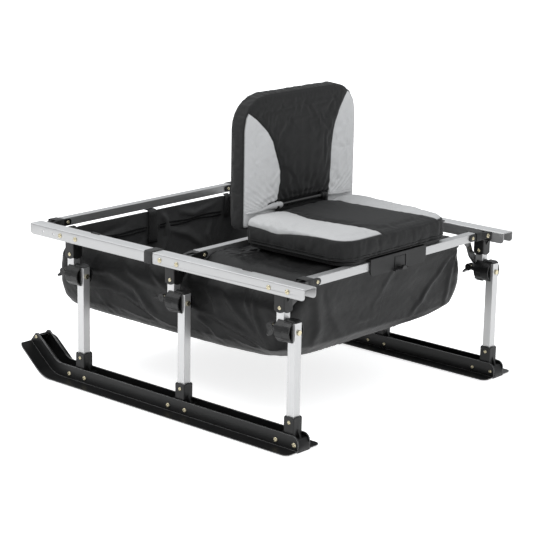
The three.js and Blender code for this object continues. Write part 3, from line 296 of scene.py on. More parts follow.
ALONG_X, ALONG_Y, ALONG_Z = (12.0, 900.0, 900.0), (900.0, 12.0, 900.0), (900.0, 900.0, 12.0)
BAG_WEAVE, PIPING_WEAVE = 0.0014, 0.0009
# Rails: the dark grey tone in a 3 mm band along the edges is painted shade of the rounded edges.
rail_metal = aluminium("aluminium_rail", ALONG_X, 0.76, 0.12, 0.62, 0.003)
bar_metal = aluminium("aluminium_bar", ALONG_Y, 0.58, upright=0.88)
tube_metal = aluminium("aluminium_tube", ALONG_Z, 0.60)
black_nylon = moulded("black_nylon", 0.0045, 0.0105, 0.36)
black_handle = moulded("black_handle", 0.005, 0.012, 0.30, 700.0)
base_plastic = moulded("base_plastic", 0.0085, 0.017, 0.48)
ski_plastic = runner("ski_polyethylene")
# pale plastic of the thin tubes that are painted highlights on the ski tips' edges
ski_highlight_plastic = moulded("ski_highlight_polyethylene", 0.16, 0.30, 0.34, 500.0)
black_steel = painted_steel("painted_steel")
yellow_zinc = plated("yellow_zinc", 0.62, 0.42, 0.24)
bag_cloth = polyester("bag_polyester", 0.0036, 0.0078, BAG_WEAVE, 24.0)
bag_lining = polyester("bag_lining", 0.044, 0.078, BAG_WEAVE, 24.0)
deck_cloth = polyester("deck_polyester", 0.0045, 0.0110, BAG_WEAVE, 46.0)
# Seat and backrest share one grey cloth; the backrest's lighter grey is painted light, standing in for the
# light that falls on it.
seat_cloth = upholstery("seat_fabric", 0.49, 0.59)
back_cloth_painted_light = upholstery("back_fabric", 0.74, 0.83)
piping_cloth = polyester("piping_cloth", 0.004, 0.008, PIPING_WEAVE, 60.0)
grey_piping = polyester("grey_piping_cloth", 0.46, 0.56, PIPING_WEAVE, 60.0)
strap_cloth = webbing("webbing_loops")


# Helpers
def linked(name, data):
    """A new object in the scene's collection."""
    made = bpy.data.objects.new(name, data)
    bpy.context.scene.collection.objects.link(made)
    return made


def mesh_object(name, vertices, faces, material):
    mesh = bpy.data.meshes.new(name)
    mesh.from_pydata([tuple(v) for v in vertices], [], [tuple(f) for f in faces])
    mesh.validate()
    mesh.update()
    mesh.shade_smooth()
    mesh.materials.append(material)
    return linked(name, mesh)


def built_mesh(name, made, material):
    """Mesh with one material from a bmesh, which is freed."""
    mesh = bpy.data.meshes.new(name)
    made.to_mesh(mesh)
    made.free()
    mesh.materials.append(material)
    mesh.shade_smooth()
    return mesh


def values(items, field, width):
    """One row of numbers per item of a Blender collection."""
    flat = np.zeros(len(items) * width)
    items.foreach_get(field, flat)
    return flat.reshape(-1, width)


def positions(obj):
    return values(obj.data.vertices, "co", 3)


def normals(obj):
    return values(obj.data.vertices, "normal", 3)


def set_positions(obj, places):
    obj.data.vertices.foreach_set("co", np.asarray(places, float).ravel())
    obj.data.update()


def apply_modifier(obj, kind, **settings):
    modifier = obj.modifiers.new(kind.lower(), kind)
    for key, value in settings.items():
        setattr(modifier, key, value)
    bpy.context.view_layer.objects.active = obj
    bpy.ops.object.modifier_apply(modifier=modifier.name)


def subdivide(obj):
    apply_modifier(obj, "SUBSURF", levels=1, render_levels=1)


def smooth_step(value, low, high):
    t = np.clip((np.asarray(value, float) - low) / (high - low), 0, 1)
    return t * t * (3 - 2 * t)


def bell(distance, width):
    """1 at distance 0, falling off over the width."""
    return np.exp(-(distance / width) ** 2)


def noise_at(places, scale, seed=0.0):
    return np.array([noise.noise(Vector(p) * scale + Vector((seed, seed, seed))) for p in places])


def ridge(value):
    """Turns a noise value into one that is sharp where the noise is 0."""
    return 1 - 2 * abs(value)


def circle(count):
    """Angles of evenly spaced points round a circle."""
    return [2 * math.pi * k / count for k in range(count)]


def arc(x, y, radius, start, turn, steps):
    """Points round a middle, from a start angle through a turn, both in degrees."""
    angles = [math.radians(start + turn * k / steps) for k in range(steps + 1)]
    return [(x + radius * math.cos(a), y + radius * math.sin(a)) for a in angles]


# CAD nodes that stay
def dress(node, material, bevel):
    """Material and softly broken edges on a CAD node, whose own vertices stay."""
    obj = nodes[node]
    obj.data.materials.clear()
    obj.data.materials.append(material)
    obj.data.shade_smooth()
    obj.modifiers.new("weld", "WELD").merge_threshold = 0.00001
    edge = obj.modifiers.new("edges", "BEVEL")
    edge.width = bevel
    edge.segments = 2
    edge.limit_method = "ANGLE"
    edge.angle_limit = math.radians(38)
    edge.harden_normals = False
    obj.modifiers.new("normals", "WEIGHTED_NORMAL").keep_sharp = True
    return obj


def paint(obj, material, inside):
    """Gives the faces whose middle is inside the second material."""
    obj.data.materials.append(material)
    index = len(obj.data.materials) - 1
    for polygon in obj.data.polygons:
        if inside(polygon.center):
            polygon.material_index = index


def dress_leg(station, x, side, sign):
    """One leg, with its fused tube stub and clamp bolt in their own metals."""
    label = f"{station}_{side}"
    y = sign * LEG_LINE
    stub_top, stub_half = 0.300, 0.0107
    bolt_radius, bolt_front, bolt_rear = 0.0072, x - 0.0255, x + 0.0428

    def is_stub(c):
        return c.z < stub_top and abs(c.x - x) < stub_half and abs(c.y - y) < stub_half

    def is_bolt(c):
        return math.hypot(c.y - y, c.z - HUB_Z) < bolt_radius and (c.x > bolt_rear or c.x < bolt_front)

    paint(dress(f"leg_socket_{label}", black_nylon, 0.6 * MM), tube_metal, is_stub)
    paint(dress(f"upper_hub_{label}", black_nylon, 0.6 * MM), yellow_zinc, is_bolt)
    dress(f"lower_hub_{label}", black_nylon, 0.6 * MM)
    dress(f"lower_tube_{label}", tube_metal, 0.4 * MM)
    dress(f"ski_bracket_{label}", black_nylon, 0.8 * MM)
    dress(f"cam_lever_{label}", black_handle, 0.8 * MM)
    if station != "front":
        dress(f"brace_{label}", black_steel, 0.5 * MM)


def paint_ski_edge_highlights(side):
    """Thin pale tubes along the convex edges of a ski's tip: painted highlights where these edges catch the
    light.
    """
    tip_end, radius, shortest, sides = -0.22, 0.6 * MM, 0.5 * MM, 6
    name = f"ski_edge_highlights_{side}"
    ski = nodes[f"ski_{side}"]
    source = bmesh.new()
    source.from_mesh(ski.data)
    bmesh.ops.remove_doubles(source, verts=source.verts, dist=0.02 * MM)
    made = bmesh.new()
    for edge in source.edges:
        if len(edge.link_faces) != 2 or edge.calc_face_angle(0) < math.radians(50) or not edge.is_convex:
            continue
        start, end = (ski.matrix_world @ v.co for v in edge.verts)
        along = end - start
        if (start + end).x / 2 > tip_end or along.length < shortest or abs(along.normalized().y) > 0.9:
            continue
        out = along.orthogonal().normalized() * radius
        other = along.normalized().cross(out)
        ring = [out * math.cos(angle) + other * math.sin(angle) for angle in circle(sides)]
        first, last = ([made.verts.new(place + step) for step in ring] for place in (start, end))
        for k in range(sides):
            made.faces.new((first[k], first[(k + 1) % sides], last[(k + 1) % sides], last[k]))
        made.faces.new(list(reversed(first)))
        made.faces.new(last)
    source.free()
    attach(linked(name, built_mesh(name, made, ski_highlight_plastic)), f"{side}_leg_set")


for side, sign in SIDES.items():
    dress(f"rail_{side}", rail_metal, 0.5 * MM)
    dress(f"ski_{side}", ski_plastic, 0.9 * MM)
    for bar in BAR_X:
        dress(f"crossbar_clip_{bar}_{side}", black_nylon, 0.7 * MM)
    for station, x in LEG_X.items():
        dress_leg(station, x, side, sign)
for bar in BAR_X:
    dress(f"crossbar_{bar}", bar_metal, 0.3 * MM)
for node in ("seat_base", "backrest_board"):
    dress(node, base_plastic, 0.7 * MM)
dress("seat_hinge_rod", black_steel, 0.5 * MM)
dress("seat_latch", base_plastic, 0.6 * MM)
for side in SIDES:
    paint_ski_edge_highlights(side)


# Fasteners
def screw_mesh(name, radius, dome, recess):
    """Pan head with a cross recess, its underside on the plane z = 0."""
    ring_shares = [0.12, 0.24, 0.36, 0.48, 0.60, 0.72, 0.84, 0.93, 0.98, 1.0]
    recess_share, slot_share, turns = 0.62, 0.13, 32
    made = bmesh.new()

    def height_at(share, angle):
        height = dome * math.sqrt(max(0.0, 1 - share ** 2.6)) * 0.75 + dome * 0.25
        from_slot = (angle + math.pi / 4) % (math.pi / 2) - math.pi / 4
        if share < recess_share and abs(radius * share * math.sin(from_slot)) < radius * slot_share:
            height -= recess * (1 - 0.55 * share / recess_share)
        return height

    def ring_at(reach, height):
        return [made.verts.new((reach * math.cos(a), reach * math.sin(a), height(a))) for a in circle(turns)]

    middle = made.verts.new((0, 0, height_at(0, 0)))
    rings = [ring_at(radius * share, lambda a, share=share: height_at(share, a)) for share in ring_shares]
    rings.append(ring_at(radius, lambda a: 0))
    for k in range(turns):
        made.faces.new((middle, rings[0][k], rings[0][(k + 1) % turns]))
    for inner, outer in zip(rings, rings[1:]):
        for k in range(turns):
            made.faces.new((inner[k], outer[k], outer[(k + 1) % turns], inner[(k + 1) % turns]))
    made.faces.new(list(reversed(rings[-1])))
    bmesh.ops.recalc_face_normals(made, faces=made.faces)
    return built_mesh(name, made, yellow_zinc)


pan_head = screw_mesh("pan_head", 5.6 * MM, 3.0 * MM, 1.6 * MM)
small_head = screw_mesh("small_head", 4.3 * MM, 2.4 * MM, 1.3 * MM)


def screw(name, mesh, place, direction, body, turn):
    facing = Vector(direction).to_track_quat("Z", "Y").to_matrix().to_4x4()
    made = linked(name, mesh)
    made.matrix_world = Matrix.Translation(place) @ facing @ Matrix.Rotation(turn, 4, "Z")
    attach(made, body)


# Where the heads lie: how far from the leg line, behind the leg or the crossbar, and how high.
RAIL_SCREW_Z, SKI_BOLT_Z = 0.348, 0.016
WALL_HALF, SLEEVE_HALF = 0.020, 0.0143
PAIR_HALF, FOOT_BACK = 0.0262, 0.0287
SOCKET_SCREW_BACK, SOCKET_SCREW_Z = 0.0016, 0.3075
BRACKET_SCREW_BACK, BRACKET_SCREW_Z = 0.0345, 0.0605
TIP_SCREW_X, TIP_SCREW_Z, TIP_SCREW_TURN = -0.4108, 0.0826, 0.4
LUG_SCREW_BACK, LUG_SCREW_OUT = 0.0133, 0.284
CLIP_SCREW_BACK, CLIP_SCREW_OUT, CLIP_SCREW_Z = 0.0200, 0.3362, 0.3515
FACES = {"outer": 1, "inner": -1}
turn_of = iter([0.3, 1.1, 0.7, 0.1, 0.9, 1.4, 0.5, 1.2, 0.2, 0.8] * 20)


def leg_screws(station, x, side, sign):
    legs, label = f"{side}_leg_set", f"{station}_{side}"
    for k, step in enumerate((-PAIR_HALF, PAIR_HALF)):
        foot = x + FOOT_BACK + step
        for name, mesh, along, out, z, way, body in (
                ("rail_screw", pan_head, x + step, RAIL_OUT, RAIL_SCREW_Z, 1, "frame"),
                ("ski_bolt", pan_head, foot, LEG_LINE + WALL_HALF, SKI_BOLT_Z, 1, legs),
                ("ski_nut", small_head, foot, LEG_LINE - WALL_HALF, SKI_BOLT_Z, -1, legs)):
            place = (along, sign * out, z)
            screw(f"{name}_{label}_{k}", mesh, place, (0, sign * way, 0), body, next(turn_of))
    for face, way in FACES.items():
        y = sign * (LEG_LINE + way * SLEEVE_HALF)
        for name, place, body in (
                ("socket_screw", (x + SOCKET_SCREW_BACK, y, SOCKET_SCREW_Z), "frame"),
                ("bracket_screw", (x + BRACKET_SCREW_BACK, y, BRACKET_SCREW_Z), legs)):
            screw(f"{name}_{label}_{face}", small_head, place, (0, sign * way, 0), body, next(turn_of))


for side, sign in SIDES.items():
    for station, x in LEG_X.items():
        leg_screws(station, x, side, sign)
    for face, way in FACES.items():
        place = (TIP_SCREW_X, sign * (LEG_LINE + way * WALL_HALF), TIP_SCREW_Z)
        name = f"tip_screw_{side}_{face}"
        screw(name, small_head, place, (0, sign * way, 0), f"{side}_leg_set", TIP_SCREW_TURN)
    for bar, x in BAR_X.items():
        place = (x + LUG_SCREW_BACK, sign * LUG_SCREW_OUT, BAR_Z)
        screw(f"lug_screw_{bar}_{side}", small_head, place, (1, 0, 0), "frame", next(turn_of))
        place = (x + CLIP_SCREW_BACK, sign * CLIP_SCREW_OUT, CLIP_SCREW_Z)
        screw(f"clip_screw_{bar}_{side}", pan_head, place, (0.8, -sign * 0.6, 0), "frame", next(turn_of))


# Sewn and stuffed pieces
CUSHION_VOXEL = 4.0 * MM
SEAM_WIDTH, PANEL_SEAM_DEPTH = 2.2 * MM, 1.6 * MM
CLOTH_FRAMES = 20


def remeshed_copy(name, node, voxel, material):
    """Closed even quad mesh over a CAD soft solid."""
    made = linked(name, nodes[node].data.copy())
    made.data.materials.clear()
    welded = bmesh.new()
    welded.from_mesh(made.data)
    bmesh.ops.remove_doubles(welded, verts=welded.verts, dist=0.01 * MM)
    welded.to_mesh(made.data)
    welded.free()
    apply_modifier(made, "REMESH", mode="VOXEL", voxel_size=voxel, adaptivity=0.0, use_smooth_shade=True)
    made.data.materials.clear()
    made.data.materials.append(material)
    return made


def relax(obj, rounds, held=None):
    """Laplacian smoothing that leaves the held vertices."""
    mesh = obj.data
    ends = values(mesh.edges, "vertices", 2).astype(int)
    count = np.bincount(ends.ravel(), minlength=len(mesh.vertices))[:, None]
    places = positions(obj)
    free = np.ones(len(places)) if held is None else 1 - held
    for _ in range(rounds):
        total = np.zeros_like(places)
        np.add.at(total, ends[:, 0], places[ends[:, 1]])
        np.add.at(total, ends[:, 1], places[ends[:, 0]])
        places = places + (total / np.maximum(count, 1) - places) * 0.5 * free[:, None]
    set_positions(obj, places)


def inflate(obj, held, pressure, slack, cap):
    """Cloth simulation with pressure, its result capped and applied."""
    group = obj.vertex_groups.new(name="held")
    for k in np.nonzero(held > 0.01)[0]:
        group.add([int(k)], float(held[k]), "REPLACE")
    before = positions(obj)
    cloth = obj.modifiers.new("cloth", "CLOTH")
    settings = cloth.settings
    settings.quality = 5
    settings.mass = 0.3
    settings.tension_stiffness = settings.compression_stiffness = 18
    settings.shear_stiffness = 8
    settings.bending_stiffness = 0.25
    settings.shrink_min = -slack
    settings.use_pressure = True
    settings.uniform_pressure_force = pressure
    settings.vertex_group_mass = "held"
    settings.effector_weights.gravity = 0
    cloth.collision_settings.use_collision = False
    cloth.point_cache.frame_start = 1
    cloth.point_cache.frame_end = CLOTH_FRAMES
    scene = bpy.context.scene
    for step in range(1, CLOTH_FRAMES + 1):
        scene.frame_set(step)
    move = positions(obj.evaluated_get(bpy.context.evaluated_depsgraph_get())) - before
    obj.modifiers.remove(cloth)
    obj.vertex_groups.clear()
    scene.frame_set(1)
    length = np.linalg.norm(move, axis=1, keepdims=True)
    set_positions(obj, before + move * (cap * np.tanh(length / cap) / np.maximum(length, 1e-9)))


def groove(obj, distance, depth):
    """Presses a sewn seam into the surface along the points at distance 0."""
    set_positions(obj, positions(obj) - normals(obj) * (depth * bell(distance, SEAM_WIDTH))[:, None])


def keep_values(obj, name, numbers):
    """Stores a number per vertex, which a later subdivision carries along."""
    attribute = obj.data.attributes.new(name, "FLOAT", "POINT")
    attribute.data.foreach_set("value", np.asarray(numbers, np.float32))


def kept_values(obj, name):
    return values(obj.data.attributes[name].data, "value", 1)[:, 0]


def skin(name, rings, material, closed):
    """Surface through rings of points, its ends flat unless the rings come back to the first one."""
    count, sides = len(rings), len(rings[0])
    faces = []
    for k in range(count if closed else count - 1):
        here, there = k * sides, (k + 1) % count * sides
        for j in range(sides):
            after = (j + 1) % sides
            faces.append((here + j, here + after, there + after, there + j))
    if not closed:
        faces.append(tuple(reversed(range(sides))))
        faces.append(tuple(range((count - 1) * sides, count * sides)))
    return mesh_object(name, [place for ring in rings for place in ring], faces, material)


def headings(path, closed):
    """The direction of travel at each point of a path."""
    ahead = path[1:] + (path[:1] if closed else path[-1:])
    behind = (path[-1:] if closed else path[:1]) + path[:-1]
    return [(a - b).normalized() for a, b in zip(ahead, behind)]


def tube(name, path, radii, material, closed=False, sides=10):
    """Round cord swept along a path, with a radius at each of its points."""
    path = [Vector(p) for p in path]
    side = headings(path, closed)[0].orthogonal().normalized()
    rings = []
    for place, along, radius in zip(path, headings(path, closed), radii):
        side = (side - along * side.dot(along)).normalized()
        other = along.cross(side)
        steps = [side * math.cos(angle) + other * math.sin(angle) for angle in circle(sides)]
        rings.append([place + step * float(radius) for step in steps])
    return skin(name, rings, material, closed)


def ribbon(name, path, across, width, thick, material, closed=False):
    """Flat strap with rounded edges, swept along a path; across is the direction of its width."""
    across = Vector(across).normalized()
    path = [Vector(p) for p in path]
    half, t = width / 2, thick / 2
    section = [(-half, -t * 0.4), (-half + t, -t), (half - t, -t), (half, -t * 0.4),
               (half, t * 0.4), (half - t, t), (-half + t, t), (-half, t * 0.4)]
    rings = []
    for place, along in zip(path, headings(path, closed)):
        normal = along.cross(across).normalized()
        rings.append([place + across * u + normal * v for u, v in section])
    return skin(name, rings, material, closed)


def rounded(left, low, right, high, radii, step):
    """Points round a rectangle with a radius for each corner, from the lower left one, anticlockwise."""
    corners = [((left, low), 180), ((right, low), 270), ((right, high), 0), ((left, high), 90)]
    points = []
    for ((x, y), start), radius in zip(corners, radii):
        cx = x + radius if x == left else x - radius
        cy = y + radius if y == low else y - radius
        points += arc(cx, cy, radius, start, 90, max(3, int(radius * 1.6 / step)))
    dense = []
    for here, there in zip(points, points[1:] + points[:1]):
        parts = max(1, int(math.dist(here, there) / step))
        for j in range(parts):
            dense.append(tuple(np.array(here) + (np.array(there) - np.array(here)) * j / parts))
    return dense


def on_surface(obj, path, lift):
    """The path drawn onto the nearest surface of the object, lifted off it a little."""
    found = []
    for place in path:
        hit, spot, normal, _ = obj.closest_point_on_mesh(Vector(place))
        found.append(spot + normal * lift if hit else Vector(place))
    for _ in range(4):
        found = [(found[k - 1] + found[k] * 2 + found[(k + 1) % len(found)]) / 4 for k in range(len(found))]
    return found


# Seat: its rear edge at the joint, its front edge, its underside and the height of its edge seam.
SEAT_BACK, SEAT_LEAD, SEAT_LOW, SEAM_RISE = 0.0869, 0.386, 0.3686, 0.0390
SEAT_NEAR, SEAT_FAR, CORNER_BACK, CORNER_LEAD = -0.191, 0.201, 0.016, 0.052
# Edges of the black middle panel of the seat, near and far, at stations along it.
SEAT_STATIONS = [0.08, 0.115, 0.13, 0.159, 0.203, 0.255, 0.306, 0.345, 0.365, 0.39]
SEAT_NEAR_EDGE = [-0.092, -0.0895, -0.084, -0.0905, -0.1005, -0.0895, -0.0765, -0.064, -0.058, -0.052]
SEAT_FAR_EDGE = [0.086, 0.0865, 0.100, 0.0915, 0.099, 0.110, 0.119, 0.134, 0.143, 0.156]
# Backrest: the plane of its edge seam, its rear face and the height of its joint with the seat.
BACK_SEAM_X, BACK_REAR_X, BACK_JOINT_Z = 0.0795, 0.0427, 0.4398
BACK_HEIGHTS = [0.39, 0.4423, 0.4903, 0.5184, 0.5553, 0.5902, 0.6149, 0.6447, 0.6691, 0.70]
BACK_NEAR_EDGE = [-0.086, -0.0744, -0.0643, -0.0635, -0.0776, -0.0915, -0.110, -0.144, -0.179, -0.235]
BACK_FAR_EDGE = [0.109, 0.1122, 0.1153, 0.1165, 0.1185, 0.1235, 0.1315, 0.1475, 0.1665, 0.20]


def seat_seams(places):
    """How far points of the seat lie above the edge seam, and outside the black middle panel."""
    x, y, z = places.T
    slope = 0.008 * (SEAT_LEAD - x) / (SEAT_LEAD - SEAT_BACK)
    dip = 0.004 * bell(x - 0.18, 0.03) * (y < 0)
    rise = 0.0115 * smooth_step(x, 0.17, 0.33)
    rim = z - (SEAT_LOW + SEAM_RISE + slope * 0.45 - dip + rise)
    near, far = np.interp(x, SEAT_STATIONS, SEAT_NEAR_EDGE), np.interp(x, SEAT_STATIONS, SEAT_FAR_EDGE)
    return rim, np.where(y < 0.01, near - y, y - far)


def back_seams(places):
    """How far points of the backrest lie in front of the edge seam, and outside the black middle panel."""
    x, y, z = places.T
    near, far = np.interp(z, BACK_HEIGHTS, BACK_NEAR_EDGE), np.interp(z, BACK_HEIGHTS, BACK_FAR_EDGE)
    return x - BACK_SEAM_X, np.where(y < 0.02, near - y, y - far)


def stuffed(name, node, cloth, seams, firm, kept_rim, edge_seam, pressure, slack, cap):
    """Blown-up copy of a CAD cushion, its seams held and pressed in, and its distances from them.
    The edge seam has a held width, a depth, and a reach below which no panel seam goes."""
    pad = remeshed_copy(name, node, CUSHION_VOXEL, cloth)
    relax(pad, 2)
    places = positions(pad)
    rim, inner = seams(places)
    width, depth, reach = edge_seam
    keep_values(pad, "rim", kept_rim(places, rim))
    keep_values(pad, "inner", inner)
    held = np.maximum(bell(rim, width), np.where(rim > -2 * MM, bell(inner, 4 * MM), 0))
    for part in firm(places):
        held = np.maximum(held, part * 1.0)
    set_positions(pad, places - normals(pad) * 0.8 * MM)
    inflate(pad, held, pressure, slack, cap)
    relax(pad, 1)
    subdivide(pad)
    rim, inner = kept_values(pad, "rim"), kept_values(pad, "inner")
    groove(pad, np.where(rim > -reach, inner, 1.0), PANEL_SEAM_DEPTH)
    groove(pad, rim, depth)
    return pad, rim, inner


def settle(pad, places, rim, inner, node, body):
    """Final places and panel values of a cushion, and what it stands for."""
    set_positions(pad, places)
    keep_values(pad, "panel", np.minimum(rim, inner))
    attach(pad, body)
    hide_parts(node)


def build_seat():
    seat, rim, inner = stuffed(
        "seat_pad", "seat_cushion", seat_cloth, seat_seams,
        lambda p: (p[:, 2] < SEAT_LOW + 4 * MM, p[:, 0] < SEAT_BACK + 6 * MM),
        lambda p, rim: np.where(p[:, 0] > SEAT_BACK + 4 * MM, rim, np.maximum(rim, 4 * MM)),
        (4 * MM, 1.4 * MM, 4 * MM), pressure=3.0, slack=0.035, cap=4.5 * MM)
    places = positions(seat)
    # small gathers that run back from the joint
    x, y, _ = places.T
    gather = np.sin(y * 118 + 1.6 * np.sin(y * 31)) * np.exp(-(x - SEAT_BACK) / 0.035)
    places[:, 2] += 1.1 * MM * gather * smooth_step(rim, 4 * MM, 12 * MM)
    places[:, 2] = np.maximum(places[:, 2], SEAT_LOW)
    settle(seat, places, rim, inner, "seat_cushion", "seat")
    return seat


def build_back():
    joint_line = 0.44
    back, rim, inner = stuffed(
        "backrest_pad", "backrest_cushion", back_cloth_painted_light, back_seams,
        lambda p: (p[:, 0] < 0.046, bell(p[:, 2] - joint_line, 0.012) * (np.abs(p[:, 1] - 0.005) < 0.115)),
        lambda p, rim: rim,
        (3.5 * MM, 1.2 * MM, 3 * MM), pressure=3.5, slack=0.04, cap=6 * MM)
    places = positions(back)
    # drag lines that fan out from the joint over the middle panel
    _, y, z = places.T
    fan = (y - 0.02) / np.maximum(z - 0.36, 0.05)
    lines = np.sin(fan * 34 + 9 * z) * np.exp(-(z - 0.43) / 0.07) * smooth_step(z, 0.43, 0.45)
    places[:, 0] += 1.3 * MM * lines * smooth_step(rim, 0.0, 3 * MM)
    places[:, 0] = np.maximum(places[:, 0], BACK_REAR_X)
    settle(back, places, rim, inner, "backrest_cushion", "backrest")


def build_piping(seat):
    """Two cords round the lower edge of the seat, and three cloth sleeves along the joint."""
    radii = [CORNER_BACK, CORNER_LEAD, CORNER_LEAD, CORNER_BACK]
    outline = rounded(SEAT_BACK, SEAT_NEAR, SEAT_LEAD, SEAT_FAR, radii, 6 * MM)
    for k, (height, radius) in enumerate(((3.5 * MM, 1.9 * MM), (11.5 * MM, 1.3 * MM))):
        path = on_surface(seat, [(x, y, SEAT_LOW + height) for x, y in outline], 0.3 * MM)
        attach(tube(f"seat_piping_{k}", path, [radius] * len(path), piping_cloth, closed=True), "seat")
    # where each sleeve starts and ends, its thickest part, and how thick and long that part is
    for name, start, end, thick, bulge, length, cloth in (
            ("near", -0.184, -0.0595, -0.076, 4.8 * MM, 0.030, grey_piping),
            ("middle", 0.070, 0.1035, 0.0875, 4.8 * MM, 0.012, piping_cloth),
            ("far", 0.104, 0.1935, 0.104, 2.0 * MM, 0.012, grey_piping)):
        ys = np.linspace(start, end, 40)
        taper = np.clip(np.minimum(ys - start + 2 * MM, end - ys + 5 * MM) / 0.010, 0.2, 1)
        radii = (3.4 * MM + bulge * bell(ys - thick, length)) * taper
        drop = 4.5 * MM * smooth_step(np.abs(ys - 0.005), 0.10, 0.15)
        path = [(0.0862 + 0.6 * MM * math.sin(y * 70), y, BACK_JOINT_Z - d) for y, d in zip(ys, drop)]
        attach(tube(f"joint_sleeve_{name}", path, radii, cloth, sides=16), "backrest")


seat_pad = build_seat()
build_back()
build_piping(seat_pad)


# Gear bag: its front, rear, half width, hem height and floor height.
BAG_FRONT, BAG_REAR, BAG_HALF, HEM, BAG_FLOOR = -0.401, 0.360, 0.284, 0.338, 0.1455
# How far its walls stand out at each level, as shares of the most that they do.
SIDE_BULGE, FRONT_SLOPE, REAR_SLOPE = 0.044, 0.066, 0.084
LEVEL_SHARES = [0, 0.02, 0.08, 0.19, 0.36, 0.53, 0.71, 0.82, 0.91, 1]
SIDE_SHARES = [-0.44, 0.05, 0.40, 0.78, 0.95, 0.98, 0.92, 0.58, 0.25, 0]
FRONT_SHARES = [0.85, 0.42, 0.16, 0.06, 0, 0, 0, 0, 0, 0]
REAR_SHARES = [1, 0.84, 0.66, 0.36, 0.29, 0.24, 0.11, 0.07, 0.035, 0]
CORNER_RADIUS, LOW_CORNER_EXTRA, CORNER_STEPS = 0.034, 0.036, 8
CLOTH_THICK, HALVES_OVERLAP = 1.2 * MM, 3.0 * MM

# Folds of the cloth in mm: the line that each follows on its face, its height and its width.
SIDE_FOLDS = [
    ([(-290, 262), (-210, 270), (-127, 247), (-84, 208), (-62, 190)], 3.4, 13),
    ([(-200, 312), (-144, 280), (-105, 267), (-50, 262)], 2.6, 11),
    ([(-110, 310), (-84, 295), (-20, 258)], 2.4, 9),
    ([(-300, 220), (-211, 231), (-155, 226), (-89, 203), (-20, 180)], 3.2, 14),
    ([(-240, 196), (-160, 190), (-100, 176)], 1.8, 12),
    ([(30, 300), (96, 292), (121, 272), (132, 246)], 3.6, 12),
    ([(40, 238), (122, 230), (198, 213), (295, 180)], 3.0, 12),
    ([(206, 318), (216, 280), (234, 250)], 2.4, 7),
    ([(232, 305), (246, 250), (284, 186)], 2.8, 10),
    ([(62, 222), (112, 204), (130, 180)], 2.6, 12),
    ([(96, 300), (150, 288), (184, 258), (245, 216)], 2.8, 12),
    ([(150, 200), (220, 184), (290, 174)], 1.8, 10),
    ([(-360, 300), (-310, 250), (-300, 190)], 2.0, 14),
]
REAR_FOLDS = [
    ([(-262, 318), (-240, 270), (-224, 228), (-230, 196)], 5.0, 22),
    ([(-214, 300), (-176, 238), (-128, 188)], 2.6, 16),
    ([(262, 324), (186, 259), (122, 184)], 3.4, 10),
    ([(20, 316), (-6, 290), (-30, 240)], 1.5, 9),
    ([(-130, 238), (-74, 210), (-20, 208)], 1.4, 8),
    ([(266, 306), (256, 250), (254, 190)], 3.0, 10),
    ([(100, 250), (150, 214), (220, 200)], 1.4, 12),
    ([(-80, 290), (-20, 262), (50, 256)], 1.0, 14),
]
FRONT_FOLDS = [
    ([(-240, 318), (-180, 300), (-100, 312)], 2.4, 10),
    ([(-200, 262), (-120, 240), (-40, 262)], 3.0, 14),
    ([(28, 330), (46, 300), (50, 262), (36, 220)], -5.0, 10),
    ([(60, 276), (130, 252), (180, 216)], -4.0, 14),
    ([(100, 318), (150, 304), (230, 322)], -3.0, 11),
    ([(220, 290), (200, 240), (215, 200)], -3.0, 12),
]
FOLD_GAIN, STEEP_SHARE, FAR_SIDE_SHIFT = 1.7, 0.42, 0.047


def fold_height(a, b, folds, shift=0.0):
    """Height of the folds at points of one face, gentle on their upper side and steep below."""
    here = np.stack([a + shift, b], axis=1)
    total = np.zeros(len(a))
    for points, height, width in folds:
        points = np.array(points) * MM
        nearest = np.full(len(a), np.inf)
        above = np.zeros(len(a), bool)
        run = np.zeros(len(a))
        for k, (start, end) in enumerate(zip(points, points[1:])):
            way = end - start
            share = np.clip((here - start) @ way / (way @ way), 0, 1)
            off = here - start - share[:, None] * way
            gap = np.hypot(off[:, 0], off[:, 1])
            closer = gap < nearest
            nearest = np.where(closer, gap, nearest)
            above = np.where(closer, way[0] * off[:, 1] - way[1] * off[:, 0] > 0, above)
            run = np.where(closer, (k + share) / (len(points) - 1), run)
        wide = np.where(above, width, width * STEEP_SHARE) * MM
        ends = np.sqrt(np.sin(np.pi * (0.06 + 0.88 * run)))
        total += FOLD_GAIN * height * MM * bell(nearest, wide) * ends
    return total


def bag_outline(level, count, across):
    """Left half of one level of the bag, from the middle of its rear to the middle of its front."""
    half = BAG_HALF + SIDE_BULGE * np.interp(level, LEVEL_SHARES, SIDE_SHARES)
    front = BAG_FRONT + FRONT_SLOPE * np.interp(level, LEVEL_SHARES, FRONT_SHARES)
    rear = BAG_REAR - REAR_SLOPE * np.interp(level, LEVEL_SHARES, REAR_SHARES)
    radius = CORNER_RADIUS + LOW_CORNER_EXTRA * (1 - level) ** 3
    rear_corner = arc(rear - radius, radius - half, radius, 0, -90, CORNER_STEPS)
    front_corner = arc(front + CORNER_RADIUS, CORNER_RADIUS - half, CORNER_RADIUS, 270, -90, CORNER_STEPS)
    points = np.array([(rear, across)] + rear_corner + front_corner + [(front, across)])
    run = np.concatenate([[0], np.cumsum(np.linalg.norm(np.diff(points, axis=0), axis=1))])
    wanted = np.linspace(0, run[-1], count)
    return np.stack([np.interp(wanted, run, points[:, 0]), np.interp(wanted, run, points[:, 1])], axis=1)


def grid_faces(rows, columns):
    """Faces of a grid of points that is stored row by row."""
    corners = [r * columns + c for r in range(rows - 1) for c in range(columns - 1)]
    return [(a, a + 1, a + columns + 1, a + columns) for a in corners]


